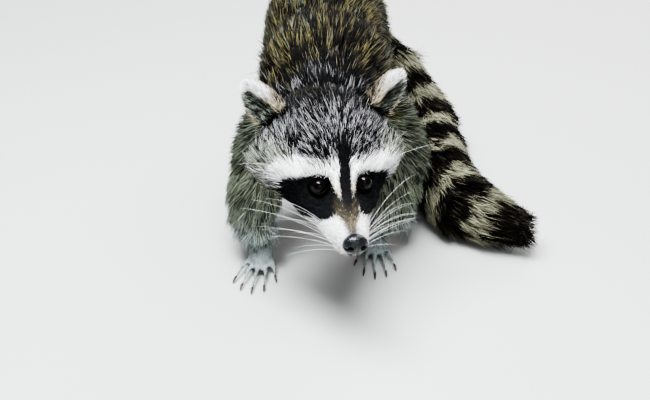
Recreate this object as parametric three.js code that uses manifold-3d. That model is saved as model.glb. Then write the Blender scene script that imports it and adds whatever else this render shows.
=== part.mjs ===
// A life-size raccoon that stands with its head low, its forefeet apart and its tail laid round to its left.
// Frame: +Z up, the floor at Z = 0, the head towards -Y and the animal's own left towards +X. Millimetres.
// The solids reach to the tips of the coat. They are rounded forms that run into each other, and each
// sub-part is a stretch of them between thin cuts.

import * as THREE from "three";
import { mergeVertices } from "three/addons/utils/BufferGeometryUtils.js";
import Module from "manifold-3d";

const wasm = await Module();
wasm.setup();

// ---- driving dimensions ----------------------------------------------------------------------------------

const CUT = 0.3; // the gap that parts one sub-part from the next
const SIDES = [
  { name: "left", s: 1 },
  { name: "right", s: -1 },
];

const EYE_HEIGHT = 165; // the point between the eyes, above the floor
const HEAD_ASIDE = 18; // that point, towards the animal's left of its shoulders
const HEAD_TURN = 14; // degrees, the nose towards the animal's left
const HEAD_DROP = 10; // degrees, the nose down
const HEAD_TIP = 3; // degrees, the left ear down

const WITHERS = 252; // height of the back over the shoulders
const BACK_TOP = 272; // height of the arched back
const SHOULDER_Y = 182; // the shoulders, behind the eyes
const SHOULDER_ASIDE = 7; // the shoulders, towards the left
const HIP_Y = 375; // the hips, behind the eyes
const HIP_ASIDE = 4; // the hips, towards the left

const MUZZLE = 58; // the nose's middle, in front of the eyes
const EYE_GAP = 44; // between the eyes' middles
const EYE_RADIUS = 9;
const CHEEK = 81; // half the head's width at the ruff of the cheeks
const EAR_HEIGHT = 47; // what stands out of the coat
const EAR_HALF_WIDTH = 17;
const EAR_HALF_DEPTH = 10;

const TAIL_RADIUS = 41; // at its fullest, with its coat
const TAIL_HEIGHT = 38; // its middle above the floor: a little less, so that it lies on a flat

// ---- points, frames and forms ----------------------------------------------------------------------------

const point = (x, y, z) => new THREE.Vector3(x, y, z);
const radians = THREE.MathUtils.degToRad;
const UP = point(0, 0, 1);
const AHEAD = point(0, -1, 0);

// A rigid frame at a place, turned about Z, then X, then Y.
const frameAt = (place, turn = 0, drop = 0, tip = 0) =>
  new THREE.Matrix4().compose(
    place,
    new THREE.Quaternion().setFromEuler(
      new THREE.Euler(radians(drop), radians(tip), radians(turn), "ZXY"),
    ),
    point(1, 1, 1),
  );

// A form is a function that gives the distance in mm from a point to a rounded surface, negative inside it.
const ball = (centre, radii) => (p) => {
  const q = p.clone().sub(centre).divide(radii);
  const far = q.length();
  return far < 1e-6 ? -Math.min(...radii.toArray()) : (far * (far - 1)) / q.divide(radii).length();
};

const limb = (a, b, radiusA, radiusB) => {
  const axis = b.clone().sub(a);
  const square = axis.lengthSq();
  return (p) => {
    const along = THREE.MathUtils.clamp(p.clone().sub(a).dot(axis) / square, 0, 1);
    const radius = THREE.MathUtils.lerp(radiusA, radiusB, along);
    return p.distanceTo(a.clone().addScaledVector(axis, along)) - radius;
  };
};

// Forms that run into each other over a width of k mm.
const blend = (k, ...forms) => (p) =>
  forms.reduce((d, form) => {
    const e = form(p);
    const h = Math.max(k - Math.abs(d - e), 0) / k;
    return Math.min(d, e) - (h * h * k) / 4;
  }, 1e3);

const carve = (k, form, hollow) => {
  const filled = blend(k, (p) => -form(p), hollow);
  return (p) => -filled(p);
};

const placed = (frame, form) => {
  const back = frame.clone().invert();
  return (p) => form(p.clone().applyMatrix4(back));
};

const chain = (k, points, radii) =>
  blend(k, ...points.slice(1).map((b, i) => limb(points[i], b, radii[i], radii[i + 1])));

// ---- from forms to closed meshes -------------------------------------------------------------------------

// The distance along a ray from inside a form to its surface, at the given distance outside it.
function reach(form, from, way, level) {
  const at = (t) => form(from.clone().addScaledVector(way, t)) - level;
  let inside = 0;
  let outside = 1;
  while (at(outside) < 0 && outside < 400) {
    inside = outside;
    outside += Math.max(0.5, -0.6 * at(outside));
  }
  for (let i = 0; i < 18; i++) {
    const middle = (inside + outside) / 2;
    if (at(middle) < 0) inside = middle;
    else outside = middle;
  }
  return inside;
}

// One closed mesh of a form between two places on a curve that runs inside it. Each ring's points lie where
// the form ends on rays from the curve. An end is flat, at a cut, or closes as a dome of so many rings.
// A pace above 1 sets the first rings closer. With a level above 0 it is a cutter: it stands that far
// outside the form and runs on past its flat ends.
function wrap(form, curve, options) {
  const { from = 0, to = 1, rings, sides, startDome = 0, endDome = 0 } = options;
  const { level = 0, hint = UP, pace = 1 } = options;
  const rows = [];
  const trim = (level > 0 ? -level : CUT / 2) / curve.getLength();
  const first = Math.max(0, from + (startDome ? 0 : trim));
  const last = Math.min(1, to - (endDome ? 0 : trim));
  const addRow = (u, lean) => {
    const centre = curve.getPointAt(u);
    const along = curve.getTangentAt(u);
    const top = hint.clone().addScaledVector(along, -hint.dot(along)).normalize();
    const side = along.clone().cross(top);
    rows.push(
      Array.from({ length: sides }, (_, j) => {
        const turn = (2 * Math.PI * j) / sides;
        const way = top
          .clone()
          .multiplyScalar(Math.cos(turn))
          .addScaledVector(side, Math.sin(turn))
          .multiplyScalar(Math.cos(lean))
          .addScaledVector(along, Math.sin(lean));
        return centre.clone().addScaledVector(way, reach(form, centre, way, level));
      }),
    );
  };
  const pole = (u, sign, dome) => {
    const centre = curve.getPointAt(u);
    if (!dome) return centre;
    const way = curve.getTangentAt(u).multiplyScalar(sign);
    return centre.addScaledVector(way, reach(form, centre, way, level));
  };
  const quarter = Math.PI / 2;
  for (let i = startDome; i > 0; i--) addRow(first, (-quarter * i) / (startDome + 1));
  for (let i = 0; i < rings; i++) addRow(first + (last - first) * (i / (rings - 1)) ** pace, 0);
  for (let i = 1; i <= endDome; i++) addRow(last, (quarter * i) / (endDome + 1));

  const points = [...rows.flat(), pole(first, -1, startDome), pole(last, 1, endDome)];
  const start = points.length - 2;
  const end = points.length - 1;
  const faces = [];
  for (let j = 0; j < sides; j++) {
    const next = (j + 1) % sides;
    faces.push(start, next, j);
    for (let i = 0; i < rows.length - 1; i++) {
      const a = i * sides;
      const b = a + sides;
      faces.push(a + j, a + next, b + next, a + j, b + next, b + j);
    }
    const rim = (rows.length - 1) * sides;
    faces.push(rim + j, rim + next, end);
  }
  return new THREE.BufferGeometry().setFromPoints(points).setIndex(faces);
}

function solid(geometry) {
  const bare = geometry.clone();
  bare.deleteAttribute("normal");
  bare.deleteAttribute("uv");
  const merged = mergeVertices(bare, 1e-3);
  return new wasm.Manifold(
    new wasm.Mesh({
      numProp: 3,
      vertProperties: Float32Array.from(merged.attributes.position.array),
      triVerts: Uint32Array.from(merged.index.array),
    }),
  );
}

// The largest piece of a solid, so that a cut leaves no crumbs.
const whole = (made) => made.decompose().reduce((a, b) => (b.volume() > a.volume() ? b : a));

const raccoon = new THREE.Group();

// Adds a solid as a named mesh that is placed at its own pivot.
function addPart(name, made, material, pivot) {
  const { numProp, numVert, vertProperties, triVerts } = whole(made).getMesh();
  const corners = new Float32Array(numVert * 3);
  for (let i = 0; i < numVert; i++) corners.set(vertProperties.subarray(i * numProp, i * numProp + 3), i * 3);
  const geometry = new THREE.BufferGeometry()
    .setAttribute("position", new THREE.BufferAttribute(corners, 3))
    .setIndex(new THREE.BufferAttribute(triVerts, 1))
    .translate(-pivot.x, -pivot.y, -pivot.z);
  geometry.computeVertexNormals();
  const mesh = new THREE.Mesh(geometry, material);
  mesh.name = name;
  mesh.position.copy(pivot);
  raccoon.add(mesh);
  return mesh;
}

const BELOW = 60;
const ground = solid(new THREE.BoxGeometry(2000, 2000, BELOW).translate(0, 0, -BELOW / 2));

// ---- materials -------------------------------------------------------------------------------------------

const finish = (color, roughness) => new THREE.MeshStandardMaterial({ color, roughness, metalness: 0 });
const headCoat = finish(0xb9b4ad, 0.85);
const bodyCoat = finish(0x6f6453, 0.9);
const legCoat = finish(0x8a8577, 0.9);
const tailCoat = finish(0x7d735f, 0.9);
const earCoat = finish(0xd8d3c6, 0.85);
const pawCoat = finish(0xb9bab6, 0.8);
const noseLeather = finish(0x1c1d21, 0.35);
const eyeBall = finish(0x120b08, 0.05);
const clawHorn = finish(0x2a2420, 0.4);

// ---- head ------------------------------------------------------------------------------------------------

// The head's own frame: x to the animal's left, y back from the eyes, z up, from the point between the eyes.
const headFrame = frameAt(point(HEAD_ASIDE, 0, EYE_HEIGHT), HEAD_TURN, HEAD_DROP, HEAD_TIP);
const inHead = (x, y, z) => point(x, y, z).applyMatrix4(headFrame);
const bothSides = (form) => SIDES.map(({ s }) => form(s));

const skullForm = blend(
  16,
  ball(point(0, 57, -2), point(58, 55, 48)), // cranium
  ball(point(0, 64, -26), point(58, 46, 36)), // throat
  ...bothSides((s) => ball(point(20 * s, 20, 7), point(25, 20, 15))), // brows
  ...bothSides((s) => ball(point((CHEEK - 36) * s, 54, -8), point(36, 28, 33))), // ruff of the cheeks
  ...bothSides((s) => ball(point(24 * s, 24, -23), point(23, 34, 23))), // jowls
);
const muzzleForm = blend(
  14,
  limb(point(0, 6, -19), point(0, 10 - MUZZLE, -24), 25, 13), // muzzle
  limb(point(0, 10, -2), point(0, 9 - MUZZLE, -17), 13, 8), // bridge of the nose
  ...bothSides((s) => limb(point(16 * s, -8, -28), point(7 * s, 14 - MUZZLE, -30), 14, 9.5)), // upper lips
);
const eyeSockets = blend(1, ...bothSides((s) => ball(point((EYE_GAP / 2 + 2) * s, -8, 1), point(12, 9, 10))));
const headForm = placed(headFrame, carve(5, blend(10, skullForm, muzzleForm), eyeSockets));

// ---- neck and trunk --------------------------------------------------------------------------------------

const neckForm = limb(inHead(0, 84, -8), point(0, SHOULDER_Y - 12, 182), 58, 62);
const trunkForm = blend(
  34,
  ball(point(0, SHOULDER_Y, WITHERS - 78), point(63, 62, 78)), // chest and withers
  ...bothSides((s) => ball(point(SHOULDER_ASIDE + 34 * s, SHOULDER_Y + 2, WITHERS - 56), point(28, 42, 44))), // shoulders
  ball(point(0, SHOULDER_Y + 68, 176), point(62, 92, 80)), // ribs
  ball(point(HIP_ASIDE * 0.5, SHOULDER_Y + 128, 165), point(67, 84, 84)), // belly
  ball(point(HIP_ASIDE * 0.5, SHOULDER_Y + 130, BACK_TOP - 66), point(52, 80, 64)), // arch of the back
  ball(point(HIP_ASIDE, HIP_Y, 166), point(64, 62, 79)), // hips
  ...bothSides((s) => ball(point(HIP_ASIDE + 32 * s, HIP_Y - 4, 148), point(38, 56, 60))), // haunches
  ball(point(HIP_ASIDE + 4, HIP_Y + 44, 166), point(36, 36, 40)), // root of the tail
);
const bodyForm = blend(22, headForm, neckForm, trunkForm);

// The line of the spine, well inside the body, from the tip of the muzzle to the rump.
const spine = new THREE.CatmullRomCurve3([
  inHead(0, 10 - MUZZLE, -26),
  inHead(0, 30 - MUZZLE, -24),
  inHead(0, 0, -16),
  inHead(0, 45, -6),
  inHead(0, 92, -2),
  point(-1, SHOULDER_Y - 44, 184),
  point(0, SHOULDER_Y, 178),
  point(HIP_ASIDE * 0.2, SHOULDER_Y + 70, 178),
  point(HIP_ASIDE * 0.55, SHOULDER_Y + 135, 174),
  point(HIP_ASIDE, HIP_Y, 164),
  point(HIP_ASIDE + 2, HIP_Y + 32, 160),
]);
const spineTo = (y) => {
  let low = 0;
  let high = 1;
  for (let i = 0; i < 30; i++) {
    const middle = (low + high) / 2;
    if (spine.getPointAt(middle).y < y) low = middle;
    else high = middle;
  }
  return low;
};
const NAPE = spineTo(92);
const COLLAR = spineTo(SHOULDER_Y - 44);
const LOIN = spineTo((SHOULDER_Y + HIP_Y) / 2 + 10);

const BODY = {
  head: { from: 0, to: NAPE, rings: 18, sides: 28, startDome: 2, pace: 1.15 },
  neck: { from: NAPE, to: COLLAR, rings: 4, sides: 24 },
  chest: { from: COLLAR, to: LOIN, rings: 6, sides: 22 },
  hindquarters: { from: LOIN, to: 1, rings: 7, sides: 22, endDome: 3 },
};
const bodyCutter = Object.values(BODY)
  .map((stretch) => solid(wrap(bodyForm, spine, { ...stretch, level: CUT })))
  .reduce((a, b) => a.add(b));

// ---- nose, eyes, jaw and ears ----------------------------------------------------------------------------

const grown = (geometry, by) => {
  geometry.computeBoundingBox();
  const size = geometry.boundingBox.getSize(point(0, 0, 0));
  return geometry.clone().scale(...size.toArray().map((length) => 1 + (2 * by) / length));
};

const NOSE_AT = point(0, -MUZZLE, -21.5);
const nosePad = new THREE.SphereGeometry(1, 12, 6).scale(12.5, 9, 11);
const noseFrame = headFrame.clone().multiply(frameAt(NOSE_AT, 0, -12));
const noseSolid = solid(nosePad.clone().applyMatrix4(noseFrame));
const noseCutter = solid(grown(nosePad, CUT).applyMatrix4(noseFrame));
const nostrils = bothSides((s) => {
  const pit = new THREE.SphereGeometry(1, 6, 4).scale(2.6, 5, 2.2).translate(5.4 * s, -8.5, -2);
  return solid(pit.applyMatrix4(noseFrame));
});

const jawPoints = [inHead(0, 24, -42), inHead(0, -8, -43), inHead(0, 17 - MUZZLE, -43)];
const jawLine = new THREE.CatmullRomCurve3(jawPoints);
const jawForm = chain(4, jawPoints, [17, 13, 8]);
const jawSolid = solid(wrap(jawForm, jawLine, { rings: 4, sides: 10, startDome: 1, endDome: 1 }));

let headSolid = solid(wrap(bodyForm, spine, BODY.head)).subtract(noseCutter);
for (const { name, s } of SIDES) {
  const middle = inHead((EYE_GAP / 2) * s, EYE_RADIUS - 4, 0);
  const eye = (radius) => solid(new THREE.SphereGeometry(radius, 12, 7).translate(...middle.toArray()));
  headSolid = headSolid.subtract(eye(EYE_RADIUS + CUT));
  addPart(`eye_${name}`, eye(EYE_RADIUS), eyeBall, middle);
}

// An ear is a rounded leaf, hollowed from in front, that opens forwards and outwards.
function earLeaf(grow) {
  const leaf = new THREE.SphereGeometry(1, 10, 7).rotateX(Math.PI / 2);
  const corner = leaf.attributes.position;
  for (let i = 0; i < corner.count; i++) {
    const high = corner.getZ(i);
    const wide = (EAR_HALF_WIDTH + grow) * (1 - 0.3 * Math.max(0, high) ** 1.5);
    const deep = EAR_HALF_DEPTH + grow;
    corner.setXYZ(i, corner.getX(i) * wide, corner.getY(i) * deep, high * EAR_HEIGHT * 0.72);
  }
  return leaf.translate(0, 0, EAR_HEIGHT * 0.28);
}
for (const { name, s } of SIDES) {
  const root = point(52 * s, 80, 29);
  const earFrame = headFrame.clone().multiply(frameAt(root, 22 * s, -8, 44 * s));
  const leaf = solid(earLeaf(0).applyMatrix4(earFrame));
  const hollow = solid(earLeaf(-3.5).scale(1, 1.1, 0.92).translate(1.5 * s, -7, 0).applyMatrix4(earFrame));
  addPart(`ear_${name}`, leaf.subtract(hollow).subtract(bodyCutter), earCoat, inHead(...root.toArray()));
}

addPart("head", headSolid, headCoat, inHead(0, 40, 0));
const noseShape = noseSolid.subtract(nostrils[0]).subtract(nostrils[1]);
addPart("nose", noseShape, noseLeather, inHead(...NOSE_AT.toArray()));
addPart("lower_jaw", jawSolid.subtract(bodyCutter).subtract(noseCutter), headCoat, inHead(0, 10, -44));

// ---- neck, chest, hindquarters and tail ------------------------------------------------------------------

for (const name of ["neck", "chest", "hindquarters"]) {
  addPart(name, solid(wrap(bodyForm, spine, BODY[name])), bodyCoat, spine.getPointAt(BODY[name].from));
}

const tailLine = new THREE.CatmullRomCurve3([
  point(HIP_ASIDE + 6, HIP_Y + 44, 168),
  point(HIP_ASIDE + 40, HIP_Y + 70, 126),
  point(HIP_ASIDE + 88, HIP_Y + 46, 76),
  point(HIP_ASIDE + 118, HIP_Y - 16, TAIL_HEIGHT + 5),
  point(HIP_ASIDE + 124, HIP_Y - 86, TAIL_HEIGHT),
  point(HIP_ASIDE + 130, HIP_Y - 152, TAIL_HEIGHT),
  point(HIP_ASIDE + 156, HIP_Y - 208, TAIL_HEIGHT - 3),
  point(HIP_ASIDE + 204, HIP_Y - 236, TAIL_HEIGHT - 8),
]);
const tailFullness = [0.62, 0.72, 0.85, 0.97, 1, 1, 0.94, 0.68];
const tailForm = chain(20, tailLine.points, tailFullness.map((share) => share * TAIL_RADIUS));
const TAIL_LENGTHS = [
  { name: "tail_base", from: 0, to: 0.34, rings: 6, startDome: 1 },
  { name: "tail_middle", from: 0.34, to: 0.66, rings: 6 },
  { name: "tail_tip", from: 0.66, to: 1, rings: 6, endDome: 2 },
];
for (const { name, ...stretch } of TAIL_LENGTHS) {
  const length = solid(wrap(tailForm, tailLine, { sides: 14, ...stretch }));
  addPart(name, length.subtract(ground).subtract(bodyCutter), tailCoat, tailLine.getPointAt(stretch.from));
}

// ---- legs ------------------------------------------------------------------------------------------------

// A stretch of leg with round ends, and the same a little larger, to cut what meets it.
function legStretch(points, radii, sides, rings, endDome) {
  const line = new THREE.CatmullRomCurve3(points);
  const options = { rings, sides, startDome: 1, endDome, hint: AHEAD };
  const form = chain(8, points, radii);
  return [0, CUT].map((level) => solid(wrap(form, line, { ...options, level })));
}

// A foot stands in its own frame: x outwards, y back, z up, from the floor under the ankle or wrist.
const FOREFOOT = {
  sole: [point(0, 5, 32), point(0, -2, 12), point(0, -13, 8)],
  soleRadii: [12, 12.5, 9],
  pads: ball(point(0, -8, 7), point(14.5, 14, 9)),
  digits: [
    { across: -13, back: -6, spread: -20, length: 23 },
    { across: -8, back: -15, spread: -9, length: 32 },
    { across: -0.8, back: -17, spread: -1.5, length: 36 },
    { across: 6.6, back: -15, spread: 6, length: 34 },
    { across: 12.5, back: -9, spread: 15, length: 29 },
  ],
  digitRadius: 2.8,
};
const HINDFOOT = {
  sole: [point(0, 6, 40), point(0, 3, 13), point(0, -34, 10), point(0, -58, 8)],
  soleRadii: [15, 14, 12, 9],
  pads: ball(point(0, -44, 7), point(17, 26, 9)),
  digits: [
    { across: -14, back: -46, spread: -30, length: 24 },
    { across: -8.5, back: -56, spread: -12, length: 30 },
    { across: -0.5, back: -59, spread: -1, length: 33 },
    { across: 8, back: -57, spread: 10, length: 31 },
    { across: 14.5, back: -48, spread: 26, length: 26 },
  ],
  digitRadius: 4.2,
};
const CLAW_LENGTH = 9;

function addFoot(name, kind, place, turn, s, cutter) {
  const frame = frameAt(place, turn * s);
  const soleLine = new THREE.CatmullRomCurve3(kind.sole.map((p) => p.clone().applyMatrix4(frame)));
  const soleForm = blend(8, chain(6, soleLine.points, kind.soleRadii), placed(frame, kind.pads));
  const shape = { rings: 4, sides: 9, startDome: 1, endDome: 1, hint: AHEAD.clone().add(UP) };
  let foot = solid(wrap(soleForm, soleLine, shape));
  const claws = [];
  for (const { across, back, spread, length } of kind.digits) {
    const digitFrame = frame.clone().multiply(frameAt(point(across * s, back, 0), spread * s));
    const along = (far, z) => point(0, -far, z).applyMatrix4(digitFrame);
    const r = kind.digitRadius;
    const joints = [along(-6, 9), along(length * 0.45, 10), along(length * 0.8, 6), along(length, 4)];
    const digitForm = chain(3, joints, [r, r, r * 0.85, r * 0.8]);
    const digitLine = new THREE.CatmullRomCurve3(joints);
    foot = foot.add(solid(wrap(digitForm, digitLine, { rings: 3, sides: 5, endDome: 1 })));
    const bend = [
      along(length - 1, 5),
      along(length + CLAW_LENGTH * 0.5, 4.4),
      along(length + CLAW_LENGTH * 0.85, 1.4),
    ];
    const clawForm = chain(1, bend, [2, 1.5, 0.6]);
    const clawLine = new THREE.CatmullRomCurve3(bend);
    const claw = (level) => solid(wrap(clawForm, clawLine, { rings: 3, sides: 4, level }));
    foot = foot.subtract(claw(CUT));
    claws.push(claw(0));
  }
  addPart(name, foot.subtract(cutter).subtract(ground), pawCoat, place);
  claws.forEach((claw, i) => addPart(`${name}_claw_${i + 1}`, claw.subtract(ground), clawHorn, place));
}

const STANCE = {
  left: { wrist: point(56, 138, 0), foreTurn: 1 },
  right: { wrist: point(-67, 111, 0), foreTurn: 11 },
};
for (const { name, s } of SIDES) {
  const { wrist, foreTurn } = STANCE[name];
  const elbow = point(SHOULDER_ASIDE + 75 * s, SHOULDER_Y - 20, 104);
  const [upperArm, upperArmCutter] = legStretch(
    [
      point(SHOULDER_ASIDE + 40 * s, SHOULDER_Y - 2, 172),
      point(SHOULDER_ASIDE + 62 * s, SHOULDER_Y - 10, 136),
      elbow,
    ],
    [36, 36, 36],
    14,
    4,
    2,
  );
  const wristTop = point(wrist.x, wrist.y + 4, 38);
  const fringe = (share, out) => elbow.clone().lerp(wristTop, share).add(point(out * s, 0, 0));
  const [forearm, forearmCutter] = legStretch(
    [elbow, fringe(0.4, 5), fringe(0.84, 10), wristTop],
    [32, 34, 27.5, 13],
    10,
    5,
    1,
  );
  addPart(`foreleg_${name}_upper`, upperArm.subtract(bodyCutter), legCoat, point(SHOULDER_ASIDE + 48 * s, SHOULDER_Y, 184));
  addPart(`foreleg_${name}_lower`, forearm.subtract(upperArmCutter).subtract(bodyCutter), legCoat, elbow);
  addFoot(`forefoot_${name}`, FOREFOOT, wrist, foreTurn, s, forearmCutter);

  const hip = point(HIP_ASIDE + 29 * s, HIP_Y - 2, 146);
  const knee = point(HIP_ASIDE + 46 * s, HIP_Y - 58, 98);
  const heel = point(HIP_ASIDE + 42 * s, HIP_Y + 2, 0);
  const ankle = point(heel.x, heel.y + 6, 46);
  const [thigh, thighCutter] = legStretch([hip, hip.clone().lerp(knee, 0.5), knee], [49, 45, 34], 12, 4, 2);
  const [shank, shankCutter] = legStretch([knee, knee.clone().lerp(ankle, 0.55), ankle], [30, 27, 18], 10, 4, 1);
  addPart(`hindleg_${name}_thigh`, thigh.subtract(bodyCutter), legCoat, hip);
  addPart(`hindleg_${name}_shank`, shank.subtract(thighCutter).subtract(bodyCutter), legCoat, knee);
  addFoot(`hindfoot_${name}`, HINDFOOT, heel, 6, s, shankCutter);
}

// ---- the part's frame ------------------------------------------------------------------------------------

// The origin lies on the floor, under the middle of the whole animal.
const extent = new THREE.Box3().setFromObject(raccoon);
const middle = extent.getCenter(point(0, 0, 0));
for (const mesh of raccoon.children) mesh.position.sub(point(middle.x, middle.y, extent.min.z));

export default raccoon;
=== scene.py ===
"""A life-size raccoon, dressed around its fixed frame of solids: one skin, a coat of tufts, lids and eyes,
nose, claws and whiskers, on a pale floor in soft light.

Shapes are worked out in millimetres and written in metres. The animal's own left is towards +X."""

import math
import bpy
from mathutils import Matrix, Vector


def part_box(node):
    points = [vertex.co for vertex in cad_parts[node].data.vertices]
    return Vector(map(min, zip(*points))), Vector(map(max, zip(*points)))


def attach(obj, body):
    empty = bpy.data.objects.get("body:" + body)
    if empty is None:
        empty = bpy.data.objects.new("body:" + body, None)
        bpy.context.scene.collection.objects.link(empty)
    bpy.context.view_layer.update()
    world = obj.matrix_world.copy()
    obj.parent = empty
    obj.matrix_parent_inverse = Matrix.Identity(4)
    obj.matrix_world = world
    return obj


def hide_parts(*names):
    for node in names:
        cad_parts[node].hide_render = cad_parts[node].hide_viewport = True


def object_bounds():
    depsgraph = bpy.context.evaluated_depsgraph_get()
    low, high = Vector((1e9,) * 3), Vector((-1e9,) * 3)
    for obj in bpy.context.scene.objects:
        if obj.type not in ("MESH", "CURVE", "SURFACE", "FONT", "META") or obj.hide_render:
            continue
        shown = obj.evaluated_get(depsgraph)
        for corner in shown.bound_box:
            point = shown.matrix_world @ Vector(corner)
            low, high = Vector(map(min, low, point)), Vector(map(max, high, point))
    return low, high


bl_info = {
    "name": "Raccoon",
    "version": (1, 0, 0),
    "blender": (4, 5, 0),
    "location": "3D View > Sidebar > Raccoon",
    "description": "Dresses a standing raccoon in skin and coat, with eyes, nose, claws and whiskers",
    "category": "Add Mesh",
}

from types import SimpleNamespace

import bpy
import numpy as np
from bpy.props import FloatProperty, FloatVectorProperty, IntProperty, PointerProperty, StringProperty
from mathutils import Matrix, Vector
from mathutils.bvhtree import BVHTree
from mathutils.kdtree import KDTree

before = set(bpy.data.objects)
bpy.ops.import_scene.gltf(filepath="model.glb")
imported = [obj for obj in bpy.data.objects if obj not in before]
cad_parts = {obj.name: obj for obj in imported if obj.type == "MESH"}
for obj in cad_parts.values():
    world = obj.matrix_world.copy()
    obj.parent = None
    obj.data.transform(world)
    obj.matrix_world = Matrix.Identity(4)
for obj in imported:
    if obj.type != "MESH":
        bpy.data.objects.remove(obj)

MM = 0.001
SIDES = {"left": 1, "right": -1}
FEET = ("forefoot_left", "forefoot_right", "hindfoot_left", "hindfoot_right")
BARE = ("eye", "nose", "claw")
CAD_BOX = [list(corner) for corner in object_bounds()]


# ---- places ------------------------------------------------------------------------------------------


def unit(v):
    """The same direction or directions with a length of one."""
    v = np.asarray(v, float)
    return v / np.maximum(np.linalg.norm(v, axis=-1, keepdims=True), 1e-9)


def smooth(low, high, x):
    """Rises smoothly from 0 at low to 1 at high."""
    t = np.clip((np.asarray(x, float) - low) / (high - low), 0, 1)
    return t * t * (3 - 2 * t)


def middle(node):
    """The middle of a node's box, in mm."""
    low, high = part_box(node)
    return (np.array(low) + np.array(high)) / 2 / MM


class Place:
    """A frame inside the animal: its own point, and its x, y and z directions as rows."""

    def __init__(self, point, axes):
        self.point = np.asarray(point, float)
        self.axes = np.asarray(axes, float)

    def inside(self, points):
        return (np.asarray(points, float) - self.point) @ self.axes.T

    def outside(self, points):
        return np.asarray(points, float) @ self.axes + self.point

    def way(self, direction):
        return np.asarray(direction, float) @ self.axes

    def turned(self, point, turn=0, drop=0, tip=0):
        """A frame at a point of this one, turned about z, then x, then y, in degrees."""
        spin = Matrix.Rotation(math.radians(turn), 3, "Z")
        spin = spin @ Matrix.Rotation(math.radians(drop), 3, "X")
        spin = spin @ Matrix.Rotation(math.radians(tip), 3, "Y")
        return Place(self.outside(point), np.array(spin).T @ self.axes)


EYE_RADIUS = 9.0
LID_ANGLE = 53.0  # from an eye's axis to the edge of its lids, in degrees
EYE_BACK = 5.0  # the eyes' middles, behind the head's own point between them
NOSE_FROM_EYES = (-63.0, -21.5)  # the nose's middle, ahead of the eyes and below them
LEFT_GAZE = (0.28, -0.80, 0.62)  # the axis of the left eye, in the head's own frame
LEFT_EAR = (52, 80, 29)  # the middle of the left ear's foot, in that frame
EAR_TURNS = (22, -8, 44)  # how far the left ear is turned outwards, tipped back and leant aside, in degrees
EAR_HEIGHT = 47.0
EAR_HALF_WIDTH = 17.0
NOSE_HALF = np.array((12.5, 9.0, 11.0))


def head_place():
    """The head's own frame, from its eyes and nose: x to its left, y back, z up."""
    left, right, nose = (middle(node) for node in ("eye_left", "eye_right", "nose"))
    between = (left + right) / 2
    x = unit(left - right)
    ahead = nose - between
    ahead = unit(ahead - x * (ahead @ x))
    over = np.cross(x, ahead)
    along, up = unit(NOSE_FROM_EYES)
    y = along * ahead - up * over
    z = up * ahead + along * over
    return Place(between - EYE_BACK * y, (x, y, z))


HEAD = head_place()
EYES = {side: middle(f"eye_{side}") for side in SIDES}
GAZE = {side: HEAD.way(unit(LEFT_GAZE) * (s, 1, 1)) for side, s in SIDES.items()}
EARS = {
    side: HEAD.turned(np.multiply(LEFT_EAR, (s, 1, 1)), *np.multiply(EAR_TURNS, (s, 1, s)))
    for side, s in SIDES.items()
}
NOSE = Place(middle("nose"), HEAD.axes)


def mirrored(here):
    """Points in the head's own frame, with those of its right side put on its left."""
    return np.column_stack([np.abs(here[:, 0]), here[:, 1:]])


def from_eye(side, points):
    """How points lie from an eye's middle, how far, and at what angle from its axis in degrees."""
    away = points - EYES[side]
    return away, np.linalg.norm(away, axis=1), np.degrees(np.arccos(np.clip(unit(away) @ GAZE[side], -1, 1)))


# ---- what a user would change ------------------------------------------------------------------------


def colour(name, description, default):
    """A colour property."""
    return FloatVectorProperty(
        name=name, description=description, default=default, subtype="COLOR", size=3, min=0, max=1
    )


grown = {}  # the hide, once the skin is made, for the coat and the whiskers


def settings_of(group):
    """The names of a group's own properties."""
    return [key for key in group.bl_rna.properties.keys() if key not in ("rna_type", "name")]


class CoatSizes(bpy.types.PropertyGroup):
    """How thick and how tidy the coat is."""

    thickness: FloatProperty(
        name="Thickness", description="Tufts, as a share of the full coat", default=1.0, min=0.05, max=1.2
    )
    quick_thickness: FloatProperty(
        name="Quick thickness", description="The same for a quick look", default=0.35, min=0.02, max=1
    )
    skin_mesh: FloatProperty(
        name="Skin mesh", description="Width of the skin's faces", default=0.0018, unit="LENGTH"
    )
    mess: FloatProperty(
        name="Mess", description="How far tufts stray from the lie of the coat", default=0.16, min=0, max=1
    )
    locks: FloatProperty(
        name="Locks", description="How far tips are drawn together in locks", default=0.55, min=0, max=1
    )
    seed: IntProperty(name="Seed", description="Where the tufts happen to grow", default=7)


class CoatColours(bpy.types.PropertyGroup):
    """The colours that the coat is mixed from."""

    black: colour("Black", "Mask, stripe and dark hairs of the head", (0.006, 0.006, 0.007))
    white: colour("White", "Brow, muzzle and pale hairs of the head", (0.97, 0.95, 0.94))
    cream: colour("Cream", "Rim of the ears and beside the stripe", (0.84, 0.73, 0.54))
    ash: colour("Ash", "Pale hairs of the crown", (0.80, 0.77, 0.78))
    # Ruff: greyish fur, with a green cast that is painted light
    ruff: colour("Ruff", "Cheeks below the brow", (0.52, 0.56, 0.47))
    bridge: colour("Bridge", "Brown of the nose's bridge", (0.28, 0.235, 0.165))
    guard: colour("Guard hair", "Dark hairs of the back", (0.011, 0.009, 0.007))
    straw: colour("Straw", "Pale hairs of the back", (0.245, 0.212, 0.10))
    # Smoke: grey fur, with a green cast that is painted light
    smoke: colour("Smoke", "Flanks and upper legs", (0.315, 0.35, 0.262))
    belly: colour("Belly", "Underside", (0.30, 0.275, 0.205))
    # Paw: greyish-white fur, with a blue cast that is painted light of shade
    paw: colour("Paw", "Lower legs and feet", (0.50, 0.57, 0.555))
    ring: colour("Ring", "Pale rings of the tail", (0.43, 0.42, 0.30))


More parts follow.
